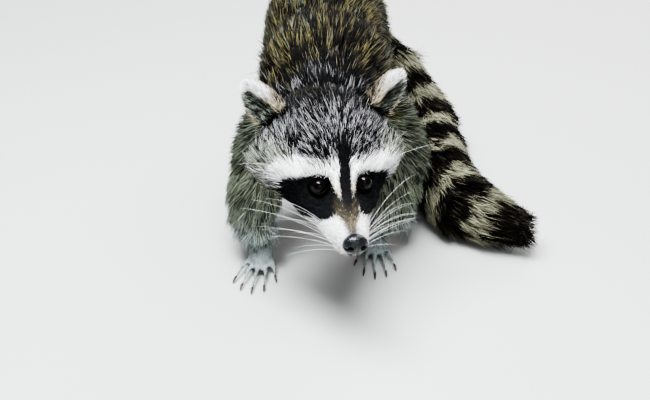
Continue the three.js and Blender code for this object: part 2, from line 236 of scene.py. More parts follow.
class FaceLooks(bpy.types.PropertyGroup):
    """Eyes, nose, claws and whiskers."""

    iris: colour("Iris", "Brown of the eyes", (0.006, 0.0026, 0.0015))
    lid: colour("Lid", "Bare rim of the lids", (0.004, 0.004, 0.004))
    nose: colour("Nose", "Leather of the nose", (0.003, 0.0035, 0.004))
    claw: colour("Claw", "Horn at the claws' roots", (0.035, 0.026, 0.020))
    claw_tip: colour("Claw tip", "Horn at the claws' tips", (0.075, 0.062, 0.052))
    whisker: FloatProperty(
        name="Whisker", description="Length of the longest whisker", default=0.098, unit="LENGTH"
    )


class StageSizes(bpy.types.PropertyGroup):
    """Camera, floor and lights."""

    distance: FloatProperty(
        name="Distance", description="Camera to the eyes", default=1.3, unit="LENGTH"
    )
    height: FloatProperty(
        name="Height", description="How steeply the camera looks down", default=math.radians(32),
        unit="ROTATION",
    )
    lens: FloatProperty(name="Lens", description="Focal length", default=74.9, unit="CAMERA")
    floor: colour("Floor", "Colour of the floor", (0.50, 0.495, 0.48))
    key: FloatProperty(name="Key light", description="Power of the wide overhead light", default=62.0)
    fill: FloatProperty(name="Fill light", description="Power of the light in front", default=6.0)
    rim: FloatProperty(name="Rim light", description="Power of the light behind", default=16.0)
    sun: FloatProperty(name="Far light", description="Strength of the light on the far floor", default=1.7)
    sky: FloatProperty(name="Sky", description="Strength of the light all round", default=0.46)


# ---- materials ---------------------------------------------------------------------------------------


class Value:
    """A number that varies over a surface. Python's operators on it add Math nodes."""

    def __init__(self, finish, socket):
        self.finish = finish
        self.socket = socket

    def _math(self, operation, *inputs):
        sockets = {i: getattr(value, "socket", value) for i, value in enumerate(inputs)}
        node = self.finish.node("ShaderNodeMath", {"operation": operation}, sockets)
        return Value(self.finish, node.outputs[0])

    def __add__(self, other):
        return self._math("ADD", self, other)

    def __sub__(self, other):
        return self._math("SUBTRACT", self, other)

    def __rsub__(self, other):
        return self._math("SUBTRACT", other, self)

    def __mul__(self, other):
        return self._math("MULTIPLY", self, other)

    __radd__ = __add__
    __rmul__ = __mul__

    def step(self, low, high):
        """Rises smoothly from 0 at low to 1 at high."""
        settings = {"interpolation_type": "SMOOTHSTEP"}
        sockets = {"Value": self.socket, "From Min": low, "From Max": high}
        node = self.finish.node("ShaderNodeMapRange", settings, sockets)
        return Value(self.finish, node.outputs["Result"])


class Finish:
    """A material being made, from a Principled shader whose constants are given."""

    def __init__(self, name, **constants):
        self.material = bpy.data.materials.new(name)
        self.material.use_nodes = True
        self.tree = self.material.node_tree
        self.shader = self.tree.nodes["Principled BSDF"]
        for socket, value in constants.items():
            self.shader.inputs[socket.replace("_", " ")].default_value = value

    def node(self, kind, settings=None, sockets=None):
        """A node of any kind: its settings are set first, then its sockets' values or links."""
        node = self.tree.nodes.new(kind)
        for name, value in (settings or {}).items():
            setattr(node, name, value)
        for name, value in (sockets or {}).items():
            if isinstance(value, bpy.types.NodeSocket):
                self.tree.links.new(value, node.inputs[name])
            else:
                node.inputs[name].default_value = value
        return node

    def attribute(self, name):
        """A number stored on the mesh."""
        return Value(self, self.node("ShaderNodeAttribute", {"attribute_name": name}).outputs["Fac"])

    def attribute_colour(self, name):
        """A colour stored on the mesh."""
        return self.node("ShaderNodeAttribute", {"attribute_name": name}).outputs["Color"]

    def place(self):
        """Where a point is in the object's own space."""
        return self.node("ShaderNodeTexCoord").outputs["Object"]

    def noise(self, scale, detail=3.0, stretch=(1, 1, 1)):
        """Noise from 0 to 1 in the object's own space."""
        spread = self.node("ShaderNodeMapping", {}, {"Vector": self.place(), "Scale": stretch})
        sockets = {"Vector": spread.outputs[0], "Scale": scale, "Detail": detail}
        return Value(self, self.node("ShaderNodeTexNoise", {}, sockets).outputs[0])

    def cells(self, scale):
        """Distance to the middle of the nearest cell of a pebbled surface."""
        node = self.node("ShaderNodeTexVoronoi", {}, {"Vector": self.place(), "Scale": scale})
        return Value(self, node.outputs["Distance"])

    def mixed(self, share, first, second, blend="MIX"):
        """A colour between two, or their product with blend MULTIPLY."""
        settings = {"data_type": "RGBA", "blend_type": blend}
        sockets = {0: getattr(share, "socket", share)}
        for index, value in ((6, first), (7, second)):
            sockets[index] = value if isinstance(value, bpy.types.NodeSocket) else (*value, 1)
        return self.node("ShaderNodeMix", settings, sockets).outputs[2]

    def feed(self, socket, value):
        """Links something that varies to the shader."""
        self.tree.links.new(getattr(value, "socket", value), self.shader.inputs[socket])

    def bump(self, height, strength, distance):
        """A fine relief, from a height of 0 to 1 that stands for so many mm."""
        sockets = {"Height": height.socket, "Strength": strength, "Distance": distance * MM}
        self.feed("Normal", self.node("ShaderNodeBump", {}, sockets).outputs[0])


def coat_finish():
    """Hair: the colour of each tuft with a fleck, dull, and a little brighter at a grazing look."""
    finish = Finish("coat", Roughness=0.6, Specular_IOR_Level=0.08, Sheen_Weight=0.012, Sheen_Roughness=0.4)
    fleck = finish.noise(420, 2.0)
    shade = 0.80 + 0.40 * fleck
    grey = finish.node("ShaderNodeCombineColor", {}, dict.fromkeys(("Red", "Green", "Blue"), shade.socket))
    tint = finish.attribute_colour("coat_colour")
    finish.feed("Base Color", finish.mixed(1.0, tint, grey.outputs[0], "MULTIPLY"))
    return finish.material


def skin_finish():
    """Skin under the coat, or with the shortest of hair, as a fine relief."""
    finish = Finish("skin", Specular_IOR_Level=0.12)
    nap = finish.noise(900, 4.0)
    mottle = finish.noise(60)
    bare = (0.03, 0.025, 0.022)
    finish.feed("Base Color", finish.mixed(0.30 * mottle, finish.attribute_colour("coat_colour"), bare))
    finish.feed("Roughness", 0.55 + 0.30 * nap)
    finish.bump(nap, 0.5, 0.5)
    return finish.material


PUPIL_EDGE = (27, 32)  # where the pupil ends and the iris is clear, in degrees from the eye's axis
IRIS_EDGE = (42, 52)  # where the iris ends and the dark of the eye is full


def eye_finish(looks):
    """Wet and nearly black, with a brown iris round a round pupil."""
    finish = Finish("eye", Roughness=0.03, Specular_IOR_Level=0.20)
    off_axis = finish.attribute("off_axis")
    fibres = finish.attribute("fibres")
    iris = finish.mixed(fibres, tuple(looks.iris), tuple(0.35 * c for c in looks.iris))
    iris = finish.mixed(1 - off_axis.step(*PUPIL_EDGE), iris, (0.0012, 0.0010, 0.0010))
    finish.feed("Base Color", finish.mixed(off_axis.step(*IRIS_EDGE), iris, (0.002, 0.0016, 0.0016)))
    return finish.material


def lid_finish(looks):
    """Bare skin of the lids' rims, moist and glossy at its edge, with a painted sheen there."""
    finish = Finish("lid", Specular_IOR_Level=0.06)
    grain = finish.noise(1500)
    wet = finish.attribute("wet")
    # The moist rim is paler and bluish: a painted sheen, besides its real gloss.
    finish.feed("Base Color", finish.mixed(wet, tuple(looks.lid), (0.016, 0.016, 0.018)))
    finish.feed("Roughness", 0.75 - 0.3 * wet + 0.1 * grain)
    finish.bump(grain, 0.25, 0.2)
    return finish.material


def nose_finish(looks):
    """Moist leather with fine pebbles, with painted shade inside the nostrils and down its groove."""
    finish = Finish("nose", Specular_IOR_Level=0.36, Coat_Roughness=0.12)
    pebbles = finish.cells(1100)
    grain = finish.noise(500)
    pit = finish.attribute("pit")
    pale = tuple(2.4 * c for c in looks.nose)
    # pit darkens the nostrils fully and the groove by half: painted shade in those hollows.
    finish.feed("Base Color", finish.mixed(pit, finish.mixed(grain, tuple(looks.nose), pale), (0.002,) * 3))
    finish.feed("Roughness", 0.14 + 0.16 * pebbles + 0.08 * grain + 0.3 * pit)
    finish.feed("Coat Weight", 0.35 - 0.35 * pit)
    finish.bump(1 - pebbles, 0.6, 0.4)
    return finish.material


def claw_finish(looks):
    """Horn with grain along it, paler and clearer to the tip."""
    finish = Finish("claw", Specular_IOR_Level=0.5)
    along = finish.attribute("along")
    grain = finish.noise(900, stretch=(3, 0.5, 1))
    horn = finish.mixed(along, tuple(looks.claw), tuple(looks.claw_tip))
    finish.feed("Base Color", finish.mixed(0.5 * grain, horn, tuple(0.5 * c for c in looks.claw)))
    finish.feed("Roughness", 0.28 + 0.25 * grain)
    finish.bump(grain, 0.2, 0.2)
    return finish.material


def whisker_finish():
    """Stiff white hair, glassy towards its tip."""
    finish = Finish("whisker", Roughness=0.35, Specular_IOR_Level=0.5)
    along = finish.attribute("along")
    finish.feed("Base Color", finish.mixed(along, (0.85, 0.83, 0.80), (0.95, 0.94, 0.92)))
    return finish.material


def floor_finish(tint):
    """A matt pale floor with the faintest of variation."""
    finish = Finish("floor", Roughness=0.85, Specular_IOR_Level=0.2)
    cloud = finish.noise(3.0, 4.0)
    finish.feed("Base Color", finish.mixed(cloud, tuple(0.97 * c for c in tint), tuple(tint)))
    return finish.material


# ---- meshes ------------------------------------------------------------------------------------------


def put(name, points, faces, material=None, **values):
    """A smooth mesh in the scene, from points in mm. Values are a number or a colour for each point."""
    mesh = bpy.data.meshes.new(name)
    faces = np.asarray(faces, np.int32)
    count, sides = faces.shape
    mesh.vertices.add(len(points))
    mesh.vertices.foreach_set("co", (np.asarray(points, np.float32) * MM).ravel())
    mesh.loops.add(count * sides)
    mesh.loops.foreach_set("vertex_index", faces.ravel())
    mesh.polygons.add(count)
    mesh.polygons.foreach_set("loop_start", np.arange(0, count * sides, sides, dtype=np.int32))
    mesh.polygons.foreach_set("use_smooth", np.ones(count, bool))
    mesh.update(calc_edges=True)
    if mesh.validate():
        raise RuntimeError(f"{name} has broken faces")
    store(mesh, **values)
    if material:
        mesh.materials.append(material)
    obj = bpy.data.objects.new(name, mesh)
    bpy.context.scene.collection.objects.link(obj)
    return obj


def store(mesh, **values):
    """Writes numbers or colours for each point of a mesh."""
    for key, value in values.items():
        value = np.asarray(value, np.float32)
        if value.ndim == 1:
            mesh.attributes.new(key, "FLOAT", "POINT").data.foreach_set("value", value)
        else:
            full = np.ones((len(value), 4), np.float32)
            full[:, :3] = value
            mesh.attributes.new(key, "FLOAT_COLOR", "POINT").data.foreach_set("color", full.ravel())


def points_of(mesh):
    """A mesh's points, in mm."""
    found = np.empty(len(mesh.vertices) * 3)
    mesh.vertices.foreach_get("co", found)
    return found.reshape(-1, 3) / MM


def triangles_of(mesh):
    """A mesh's faces as triangles."""
    mesh.calc_loop_triangles()
    found = np.empty(len(mesh.loop_triangles) * 3, np.int32)
    mesh.loop_triangles.foreach_get("vertices", found)
    return found.reshape(-1, 3)


def lattice(rows, columns, closed=True):
    """Four-sided faces between rows of points, each row closed on itself."""
    i, j = np.meshgrid(np.arange(rows - 1), np.arange(columns if closed else columns - 1), indexing="ij")
    a = i * columns + j
    b = i * columns + (j + 1) % columns
    return np.stack([a, b, b + columns, a + columns], -1).reshape(-1, 4)


def joined(shapes):
    """One list of points and one of faces from several."""
    points, faces, start = [], [], 0
    for some_points, some_faces in shapes:
        points.append(some_points)
        faces.append(np.asarray(some_faces) + start)
        start += len(some_points)
    return np.concatenate(points), np.concatenate(faces)


def edges_of(triangles):
    """The edges of triangles, lower point first: all the first edges, then the second, then the third."""
    return np.sort(np.concatenate([triangles[:, [i, (i + 1) % 3]] for i in range(3)]), axis=1)


class Surface:
    """A closed surface of triangles, with what lies beside each of its points."""

    def __init__(self, points, triangles):
        self.points = points
        self.triangles = triangles
        pairs = np.unique(edges_of(triangles), axis=0)
        both = np.concatenate([pairs, pairs[:, ::-1]])
        both = both[np.argsort(both[:, 0], kind="stable")]
        self.count = np.bincount(both[:, 0], minlength=len(points))
        slot = np.arange(len(both)) - np.repeat(np.cumsum(self.count) - self.count, self.count)
        self.beside = np.tile(np.arange(len(points))[:, None], (1, self.count.max()))
        self.beside[both[:, 0], slot] = both[:, 1]

    def normals(self):
        """The direction out of the surface at each point."""
        a, b, c = (self.points[self.triangles[:, i]] for i in range(3))
        face = np.cross(b - a, c - a)
        total = np.zeros_like(self.points)
        for corner in range(3):
            for axis in range(3):
                total[:, axis] += np.bincount(self.triangles[:, corner], face[:, axis], len(self.points))
        return unit(total)

    def mean_beside(self, values):
        """The mean of the values beside each point."""
        spare = (self.beside.shape[1] - self.count).reshape((-1,) + (1,) * (values.ndim - 1))
        count = np.maximum(self.count, 1).reshape(spare.shape)
        return (values[self.beside].sum(1) - spare * values) / count

    def eased(self, values, rounds, share=0.5):
        """Values smoothed over the surface."""
        for _ in range(rounds):
            values = values + share * (self.mean_beside(values) - values)
        return values

    def distance_from(self, start):
        """How far each point is from the start, over the surface."""
        step = np.linalg.norm(self.points[self.beside] - self.points[:, None], axis=2)
        far = np.where(start, 0.0, 1e6)
        for _ in range(2000):
            nearer = np.minimum(far, (far[self.beside] + step).min(1))
            if np.array_equal(nearer, far):
                break
            far = nearer
        return far

    def climb(self, values):
        """The direction in which values rise fastest at each point."""
        gap = self.points[self.beside] - self.points[:, None]
        rise = (values[self.beside] - values[:, None]) / np.maximum((gap**2).sum(2), 1e-6)
        return unit((gap * rise[:, :, None]).sum(1))

    def largest(self):
        """The one of the surface's separate pieces that has most points."""
        label = np.arange(len(self.points))
        for _ in range(5000):
            lower = np.minimum(label, label[self.beside].min(1))
            lower = lower[lower]
            if np.array_equal(lower, label):
                break
            label = lower
        keep = label == np.bincount(label).argmax()
        place = np.cumsum(keep) - 1
        return Surface(self.points[keep], place[self.triangles[keep[self.triangles].all(1)]])


def nearest(points, targets):
    """Which target lies nearest to each point."""
    tree = KDTree(len(targets))
    for i, target in enumerate(targets):
        tree.insert(target, i)
    tree.balance()
    return np.array([tree.find(point)[1] for point in points])


# ---- what the coat is like in each place -------------------------------------------------------------

# For each sub-part: how deep the coat is over the skin and how long its hairs are, how wide a tuft is, all
# in mm, how many tufts grow on a square centimetre, and how often its solid is smoothed.
COATS = {
    "lower_jaw": (1.2, 4, 0.6, 90, 10),
    "ear": (0.6, 10.5, 0.45, 185, 4),
    "head": (6, 12, 0.9, 60, 14),
    "neck": (13, 25, 1.3, 34, 30),
    "chest": (15, 30, 1.5, 27, 36),
    "hindquarters": (17, 33, 1.6, 24, 40),
    "tail": (17, 31, 1.4, 30, 26),
    "foreleg upper": (11, 23, 1.2, 34, 26),
    "foreleg lower": (12, 26, 1.1, 38, 14),
    "forefoot": (1.0, 3.8, 0.5, 110, 3),
    "thigh": (13, 26, 1.4, 28, 34),
    "shank": (7, 15, 1.0, 44, 20),
    "hindfoot": (1.0, 4.0, 0.55, 95, 3),
}
GROUPS = list(COATS)

# The same at places of the head, in its own frame. x is half the places' distance apart.
HEAD_COATS = {
    "nose": ((0, -58, -10), (1.0, 2.8, 0.50, 170)),
    "bridge": ((0, -28, -2), (1.3, 4.0, 0.50, 160)),
    "lip": ((16, -38, -32), (1.4, 4.6, 0.55, 150)),
    "stripe": ((0, -6, 14), (1.8, 6.0, 0.55, 140)),
    "mask": ((32, -6, -17), (2.0, 6.0, 0.6, 125)),
    "mask end": ((52, 20, -12), (4.5, 11, 0.60, 120)),
    "brow": ((30, 13, 20), (3.4, 10.5, 0.48, 165)),
    "forehead": ((0, 20, 36), (4.4, 14, 0.47, 165)),
    "crown": ((0, 58, 52), (7.0, 19, 0.60, 115)),
    "temple": ((48, 48, 34), (7.0, 19, 0.58, 118)),
    "ruff": ((76, 54, -8), (10, 25, 0.70, 82)),
    "jowl": ((46, 40, -44), (8, 19, 0.90, 60)),
    "throat": ((0, 50, -60), (10, 20, 1.10, 44)),
    "chin": ((0, -34, -46), (1.2, 4.0, 0.60, 100)),
}
LEG_END = (2.2, 7, 0.7, 85)  # the same where a leg meets its foot
LEG_END_HEIGHTS = (36, 50)  # where that begins to lengthen, and where it has the leg's own length
EYE_FUR = 15.0  # hairs this near an eye's middle are short and point away from it


def head_coats(points):
    """Depth, length, width and number of tufts at points near the head."""
    places, values = (np.array(column, float) for column in zip(*HEAD_COATS.values()))
    far = ((mirrored(HEAD.inside(points))[:, None] - places) ** 2).sum(2)
    weight = 1 / (far**2 + 1)
    return weight @ values / weight.sum(1, keepdims=True)


def group_of(node):
    """Which kind of coat a sub-part has."""
    return next(i for i, key in enumerate(GROUPS) if all(word in node for word in key.split()))


def part_of(weights, *groups):
    """How far each point belongs to the named kinds of coat, from 0 to 1."""
    return weights[:, [GROUPS.index(group) for group in groups]].sum(1)


def near_eyes(points):
    """For each point, its distance from the nearer eye's middle and the direction away from it."""
    away = np.stack([points - EYES[side] for side in SIDES])
    far = np.linalg.norm(away, axis=2)
    nearer = far.argmin(0)
    rows = np.arange(len(points))
    return far[nearer, rows], unit(away[nearer, rows])


# ---- markings ----------------------------------------------------------------------------------------

# Markings of the face, the same on both sides, against how far up the face they lie: the mask's outline and
# the height of the brow's upper edge by x from the middle line, then by height the half-widths of the stripe
# and of the nose's brown bridge, the share of dark hairs on the bridge, and how far the middle line strays.
MASK = np.array(
    [
        (13.8, 5), (13.8, 12), (17, 10.5), (25, 12), (33, 14.5), (44, 15), (54, 14), (57, 8), (54, -1),
        (49, -9), (43, -17), (36, -24), (29.5, -27.5), (23.5, -29), (16, -27.5), (11, -23), (8, -17),
        (7.6, -11), (8.8, -5), (11.5, 0),
    ],
    float,
)
BROW_TOP = np.array([(11, 27), (20, 24), (30, 27), (41, 31), (53, 33), (63, 31), (75, 27)], float).T
STRIPE = np.array([(-30, 1.5), (-20, 4.2), (-10, 6.2), (3, 6.3), (22, 5.6), (36, 5.2), (54, 4)], float).T
BRIDGE = np.array([(-52, 6.5), (-45, 7), (-39, 8), (-33, 9.5), (-25, 12), (-16, 13), (-8, 11)], float).T
BRIDGE_DARK = np.array([(-50, 0.68), (-44, 0.62), (-36, 0.56), (-30, 0.72), (-22, 0.87), (-12, 0.97)]).T
MIDLINE = np.array([(-45, -1.5), (-35, -2.2), (-25, -1.5), (-15, 0), (5, 1.5), (22, 2.2), (46, 4.5)]).T
FACE_SLOPE = math.radians(42)  # the plane of the face leans back by this from upright


def face_height(head_points):
    """How far up the face a point is, along the slope of the face."""
    return head_points[:, 2] * math.cos(FACE_SLOPE) + head_points[:, 1] * math.sin(FACE_SLOPE)


def line_distance(points, line):
    """The distance of points from a line of straight stretches."""
    best = np.full(len(points), 1e9)
    for a, b in zip(line, line[1:]):
        side = b - a
        share = np.clip((points - a) @ side / (side @ side), 0, 1)
        best = np.minimum(best, np.linalg.norm(points - a - share[:, None] * side, axis=1))
    return best


def outline_distance(points, outline):
    """The distance of flat points from an outline, negative inside it."""
    outline = np.concatenate([outline, outline[:1]])
    inside = np.zeros(len(points), bool)
    for a, b in zip(outline, outline[1:]):
        crosses = (a[1] > points[:, 1]) != (b[1] > points[:, 1])
        reach = a[0] + (points[:, 1] - a[1]) * (b - a)[0] / ((b - a)[1] or 1e-9)
        inside ^= crosses & (points[:, 0] < reach)
    return line_distance(points, outline) * np.where(inside, -1, 1)


def clouds(points, size, seed):
    """Soft patches of about that size, from -1 to 1."""
    rng = np.random.default_rng(seed)
    total = np.zeros(len(points))
    for _ in range(8):
        way = unit(rng.normal(size=3)) * 2 * math.pi / (size * rng.uniform(0.7, 1.5))
        total += np.sin(points @ way + rng.uniform(0, 2 * math.pi))
    return total / 4


class Marks:
    """Pale and dark hairs at each point, and the share of dark ones."""

    def __init__(self, count, toss):
        self.toss = toss
        self.pale = np.zeros((count, 3))
        self.dark = np.zeros((count, 3))
        self.share = np.zeros(count)
        # root: how bright hairs are near the skin, partly their own dark bases and partly painted shade deep
        # in the coat
        self.root = np.zeros(count)

    def lay(self, where, pale, dark, share, root):
        """Lays colours over what is there, as far as where says. root is how bright hairs are there.

        With a toss for each point, a place takes the new colours wholly or not at all, as hairs do."""
        where = np.asarray(where, float) if self.toss is None else (where > self.toss).astype(float)
        for name, value in (("pale", pale), ("dark", dark)):
            old = getattr(self, name)
            setattr(self, name, old + where[:, None] * (np.asarray(value) - old))
        self.share += where * (share - self.share)
        self.root += where * (root - self.root)

    def mean(self):
        """The colour of the coat seen from afar."""
        return self.pale + self.share[:, None] * (self.dark - self.pale)


def marks_at(points, normals, weights, tail_along, colours, toss=None):
    """The animal's markings. weights has a column for each kind of coat."""
    on = {group: weights[:, i] for i, group in enumerate(GROUPS)}
    tint = SimpleNamespace(**{key: np.array(getattr(colours, key)) for key in settings_of(colours)})
    marks = Marks(len(points), toss)
    body_marks(marks, points, normals, on, tail_along, tint)
    head_marks(marks, points, on, tint)
    ear_marks(marks, points, normals, on, tint)
    return marks


RING_PITCH = 56.0
RING_PALE = 0.55  # the share of each ring that is pale
RING_EDGE = 0.10  # the share of each ring over which its pale part begins or ends
TAIL_TIP = 38.0  # the dark tip

# Where one colour of the coat gives way to the next: heights over the floor, and distances behind the eyes.
SHOULDER = (196, 138)
FRINGE = (78, 44)
WRIST = (48, 32)
NAPE = (200, 140)
BEHIND_CROWN = (165, 115)


def body_marks(marks, points, normals, on, tail_along, tint):
    """Trunk, legs and tail."""
    height = points[:, 2]
    risen = height / (CAD_BOX[1][2] / MM)
    patch = clouds(points, 90, 1)
    streak = clouds(points * (1.6, 0.35, 1.6), 30, 2)
    marks.lay(np.ones(len(points)), tint.straw * 0.95, tint.guard, 0.64 + 0.12 * streak, 0.11)
    # Darker on the upper back: partly the back's own darker hair and partly painted shade.
    dark_back_and_shade = smooth(0.55, 0.95, normals[:, 2]) * smooth(0.6, 0.9, risen)
    marks.lay(0.8 * dark_back_and_shade, tint.straw * 0.8, tint.guard, 0.78 + 0.1 * streak, 0.09)
    flank = smooth(0.75, 0.30, np.abs(normals[:, 2])) * smooth(0.9, 0.5, risen)
    marks.lay(0.6 * flank, tint.smoke * 0.8, tint.guard, 0.38 + 0.12 * streak, 0.18)
    marks.lay(np.full(len(points), 0.2), tint.smoke * 0.75, tint.guard, 0.5 + 0.12 * streak, 0.14)
    under = smooth(-0.2, -0.75, normals[:, 2])
    marks.lay(under, tint.belly, tint.guard, 0.16, 0.4)
    bright = 0.5 * smooth(0.1, 0.8, patch) * (1 - on["head"])
    marks.lay(bright, tint.straw * 1.1, tint.guard, 0.36, 0.15)
    behind = HEAD.inside(points)[:, 1] + 22 * clouds(points, 45, 4)
    upper = on["foreleg upper"] * smooth(*SHOULDER, height + 12 * clouds(points, 40, 5))
    trunk = (1 - 0.6 * under) * (1 - upper)
    nape = tint.straw * 0.6 + tint.ash * 0.1
    marks.lay(smooth(*NAPE, behind) * trunk, nape, tint.guard, 0.84, 0.10)
    marks.lay(smooth(*BEHIND_CROWN, behind) * trunk, tint.ash * 0.5, tint.black, 0.79, 0.08)
    marks.lay(upper, tint.smoke * 0.95, tint.smoke * 0.16, 0.28 + 0.12 * streak, 0.22)
    marks.lay(0.85 * on["thigh"], tint.smoke * 0.75, tint.guard, 0.42 + 0.12 * streak, 0.2)
    marks.lay(on["shank"], tint.smoke * 0.7, tint.guard, 0.42, 0.3)
    marks.lay(on["foreleg lower"], tint.smoke * 1.05, tint.smoke * 0.2, 0.22 + 0.1 * streak, 0.3)
    lower = on["foreleg lower"] + on["shank"]
    fringe = tint.smoke * 0.7 + tint.paw * 0.5
    marks.lay(0.6 * (smooth(*FRINGE, height) * lower), fringe, tint.paw * 0.3, 0.18, 0.4)
    marks.lay(smooth(*WRIST, height) * lower, tint.paw, tint.paw * 0.35, 0.2, 0.5)
    feet = on["forefoot"] + on["hindfoot"]
    marks.lay(feet, tint.paw, tint.paw * 0.22, 0.26 + 0.1 * streak, 0.5)
    # Painted shade: darker low on the feet's sides and between the toes, near the floor.
    painted_shade_low_on_feet = smooth(0.6, 0.05, normals[:, 2]) * smooth(20, 12, height)
    marks.lay(0.7 * feet * painted_shade_low_on_feet, tint.paw * 0.45, tint.guard, 0.4, 0.4)
    marks.lay(on["tail"], tint.ring, tint.guard, 0.10 + 0.1 * streak, 0.35)
    phase = (tail_along + 5 * streak - TAIL_TIP) / RING_PITCH
    within = phase - np.floor(phase)
    pale = smooth(0, RING_EDGE, within) * (1 - smooth(RING_PALE - RING_EDGE, RING_PALE, within))
    pale *= smooth(-0.02, 0.0, phase)
    marks.lay(on["tail"] * (1 - pale), tint.belly * 0.30, tint.guard, 0.88, 0.6)


def head_marks(marks, points, on, tint):
    """Mask, brow, stripe, bridge, muzzle, crown, cheeks and throat."""
    here = HEAD.inside(points)
    up = face_height(here)
    here[:, 0] -= np.interp(up, *MIDLINE) * smooth(45, 20, np.abs(here[:, 0]))
    aside = np.abs(here[:, 0])
    head = np.clip(on["head"] + on["lower_jaw"], 0, 1)
    mess = clouds(points, 17, 3)
    marks.lay(head, tint.ash * 1.3, tint.black, 0.78 + 0.14 * mess, 0.03)
    marks.lay(smooth(52, 64, up) * head, tint.ash * 1.05, tint.black, 0.66, 0.06)
    marks.lay(smooth(72, 90, up) * head, tint.ash * 0.5, tint.black, 0.82, 0.07)
    marks.lay(0.5 * smooth(84, 104, up + 5 * mess) * head, tint.straw * 0.7, tint.guard, 0.76, 0.08)
    mid_crown = smooth(42, 14, aside) * smooth(24, 32, up) * smooth(66, 48, up) * head
    marks.lay(0.9 * mid_crown, tint.ash * 1.05, tint.black, 0.85, 0.04)
    cheek = smooth(40, 60, aside + 4 * mess) * smooth(60, 40, up) * head
    marks.lay(cheek, tint.ruff * 1.05, tint.smoke * 0.14, 0.30 + 0.10 * mess, 0.18)
    brow_top = np.interp(aside, *BROW_TOP) + 2.0 * mess
    brow = smooth(3, 7, up) * (1 - smooth(brow_top - 4, brow_top + 7, up))
    brow *= smooth(-6, 8, here[:, 1] + aside)
    brow *= 1 - 0.6 * smooth(58, 74, aside)
    marks.lay(brow * head, tint.white, tint.ash * 0.5, 0.04, 0.62)
    below = (1 - smooth(-4, 6, up)) * head
    marks.lay(below, tint.white, tint.ruff * 0.6, 0.05, 0.8)
    low_cheek = smooth(51, 60, aside + 3 * mess) * smooth(19, 7, up + 4 * mess) * head
    marks.lay(0.8 * low_cheek, tint.ruff * 0.75, tint.black, 0.55, 0.12)
    # Darker grey below the jaw, behind the muzzle: painted shade beneath the head.
    jowl = smooth(-24, 8, here[:, 1] + 6 * mess) * smooth(6, -4, up) * head
    marks.lay(jowl, tint.smoke * 0.7, tint.guard, 0.42, 0.3)
    behind_jowl = smooth(20, 44, here[:, 1]) * smooth(6, -4, up) * head
    marks.lay(behind_jowl, tint.ruff * 0.8, tint.guard, 0.32, 0.25)
    throat = smooth(0, 24, here[:, 1]) * smooth(-30, -46, here[:, 2]) * head
    marks.lay(throat, tint.smoke * 0.8, tint.guard, 0.34, 0.4)
    strip = smooth(14.5, 12.5, aside) * smooth(-10, -3, up) * smooth(36, 22, up) * head
    fade = smooth(-6, 10, up)[:, None]
    marks.lay(strip, tint.cream + fade * (tint.white - tint.cream), tint.bridge * 0.5, 0.05, 0.7)
    wavy = np.stack([aside + 0.9 * mess, up + 0.9 * mess], 1)
    mask = 1 - smooth(-2.0, 1.6, outline_distance(wavy, MASK))
    mask *= smooth(75, 60, np.linalg.norm(here, axis=1)) * head
    # The mask's paler hairs are bluish: a painted sheen on its black fur.
    marks.lay(mask, tint.black * (2.5, 2.9, 2.9), tint.black, 0.62, 0.8)
    half = np.interp(up, *BRIDGE) + 0.9 * mess
    soft = 2.0 + 4.5 * smooth(-22, -36, up)
    bridge = (1 - smooth(half - soft, half + 2.5, aside)) * smooth(-4, -12, up) * head
    grey = smooth(-36, -46, up)[:, None]
    hair = (1 - grey) * tint.bridge + grey * tint.ash * 0.22
    marks.lay(bridge, hair, hair * 0.10, np.interp(up, *BRIDGE_DARK), 0.7)
    eye_far, _ = near_eyes(points)
    marks.lay(smooth(13, 11, eye_far) * head, tint.black * 2, tint.black, 0.8, 0.8)
    half = np.interp(up, *STRIPE) + 0.4 * mess
    stripe = (1 - smooth(half - 1.6, half + 1.2, aside)) * smooth(-30, -12, up) * smooth(66, 40, up)
    marks.lay(stripe * head, tint.black * 2, tint.black, 0.85, 0.8)
    lip = smooth(3.0, 1.4, mouth_distance(here)) * head
    marks.lay(lip, tint.black * 3, tint.black, 0.6, 0.9)


# The mouth's line on one side, in the head's own frame, from under the nose to its corner.
MOUTH = np.array(
    [(1, -60, -36), (7, -56, -39), (12, -44, -41.5), (15, -26, -43), (18, -8, -43), (20, 4, -41)], float
)


def mouth_distance(here):
    """The distance of points of the head from the line of the mouth."""
    return line_distance(mirrored(here), MOUTH)


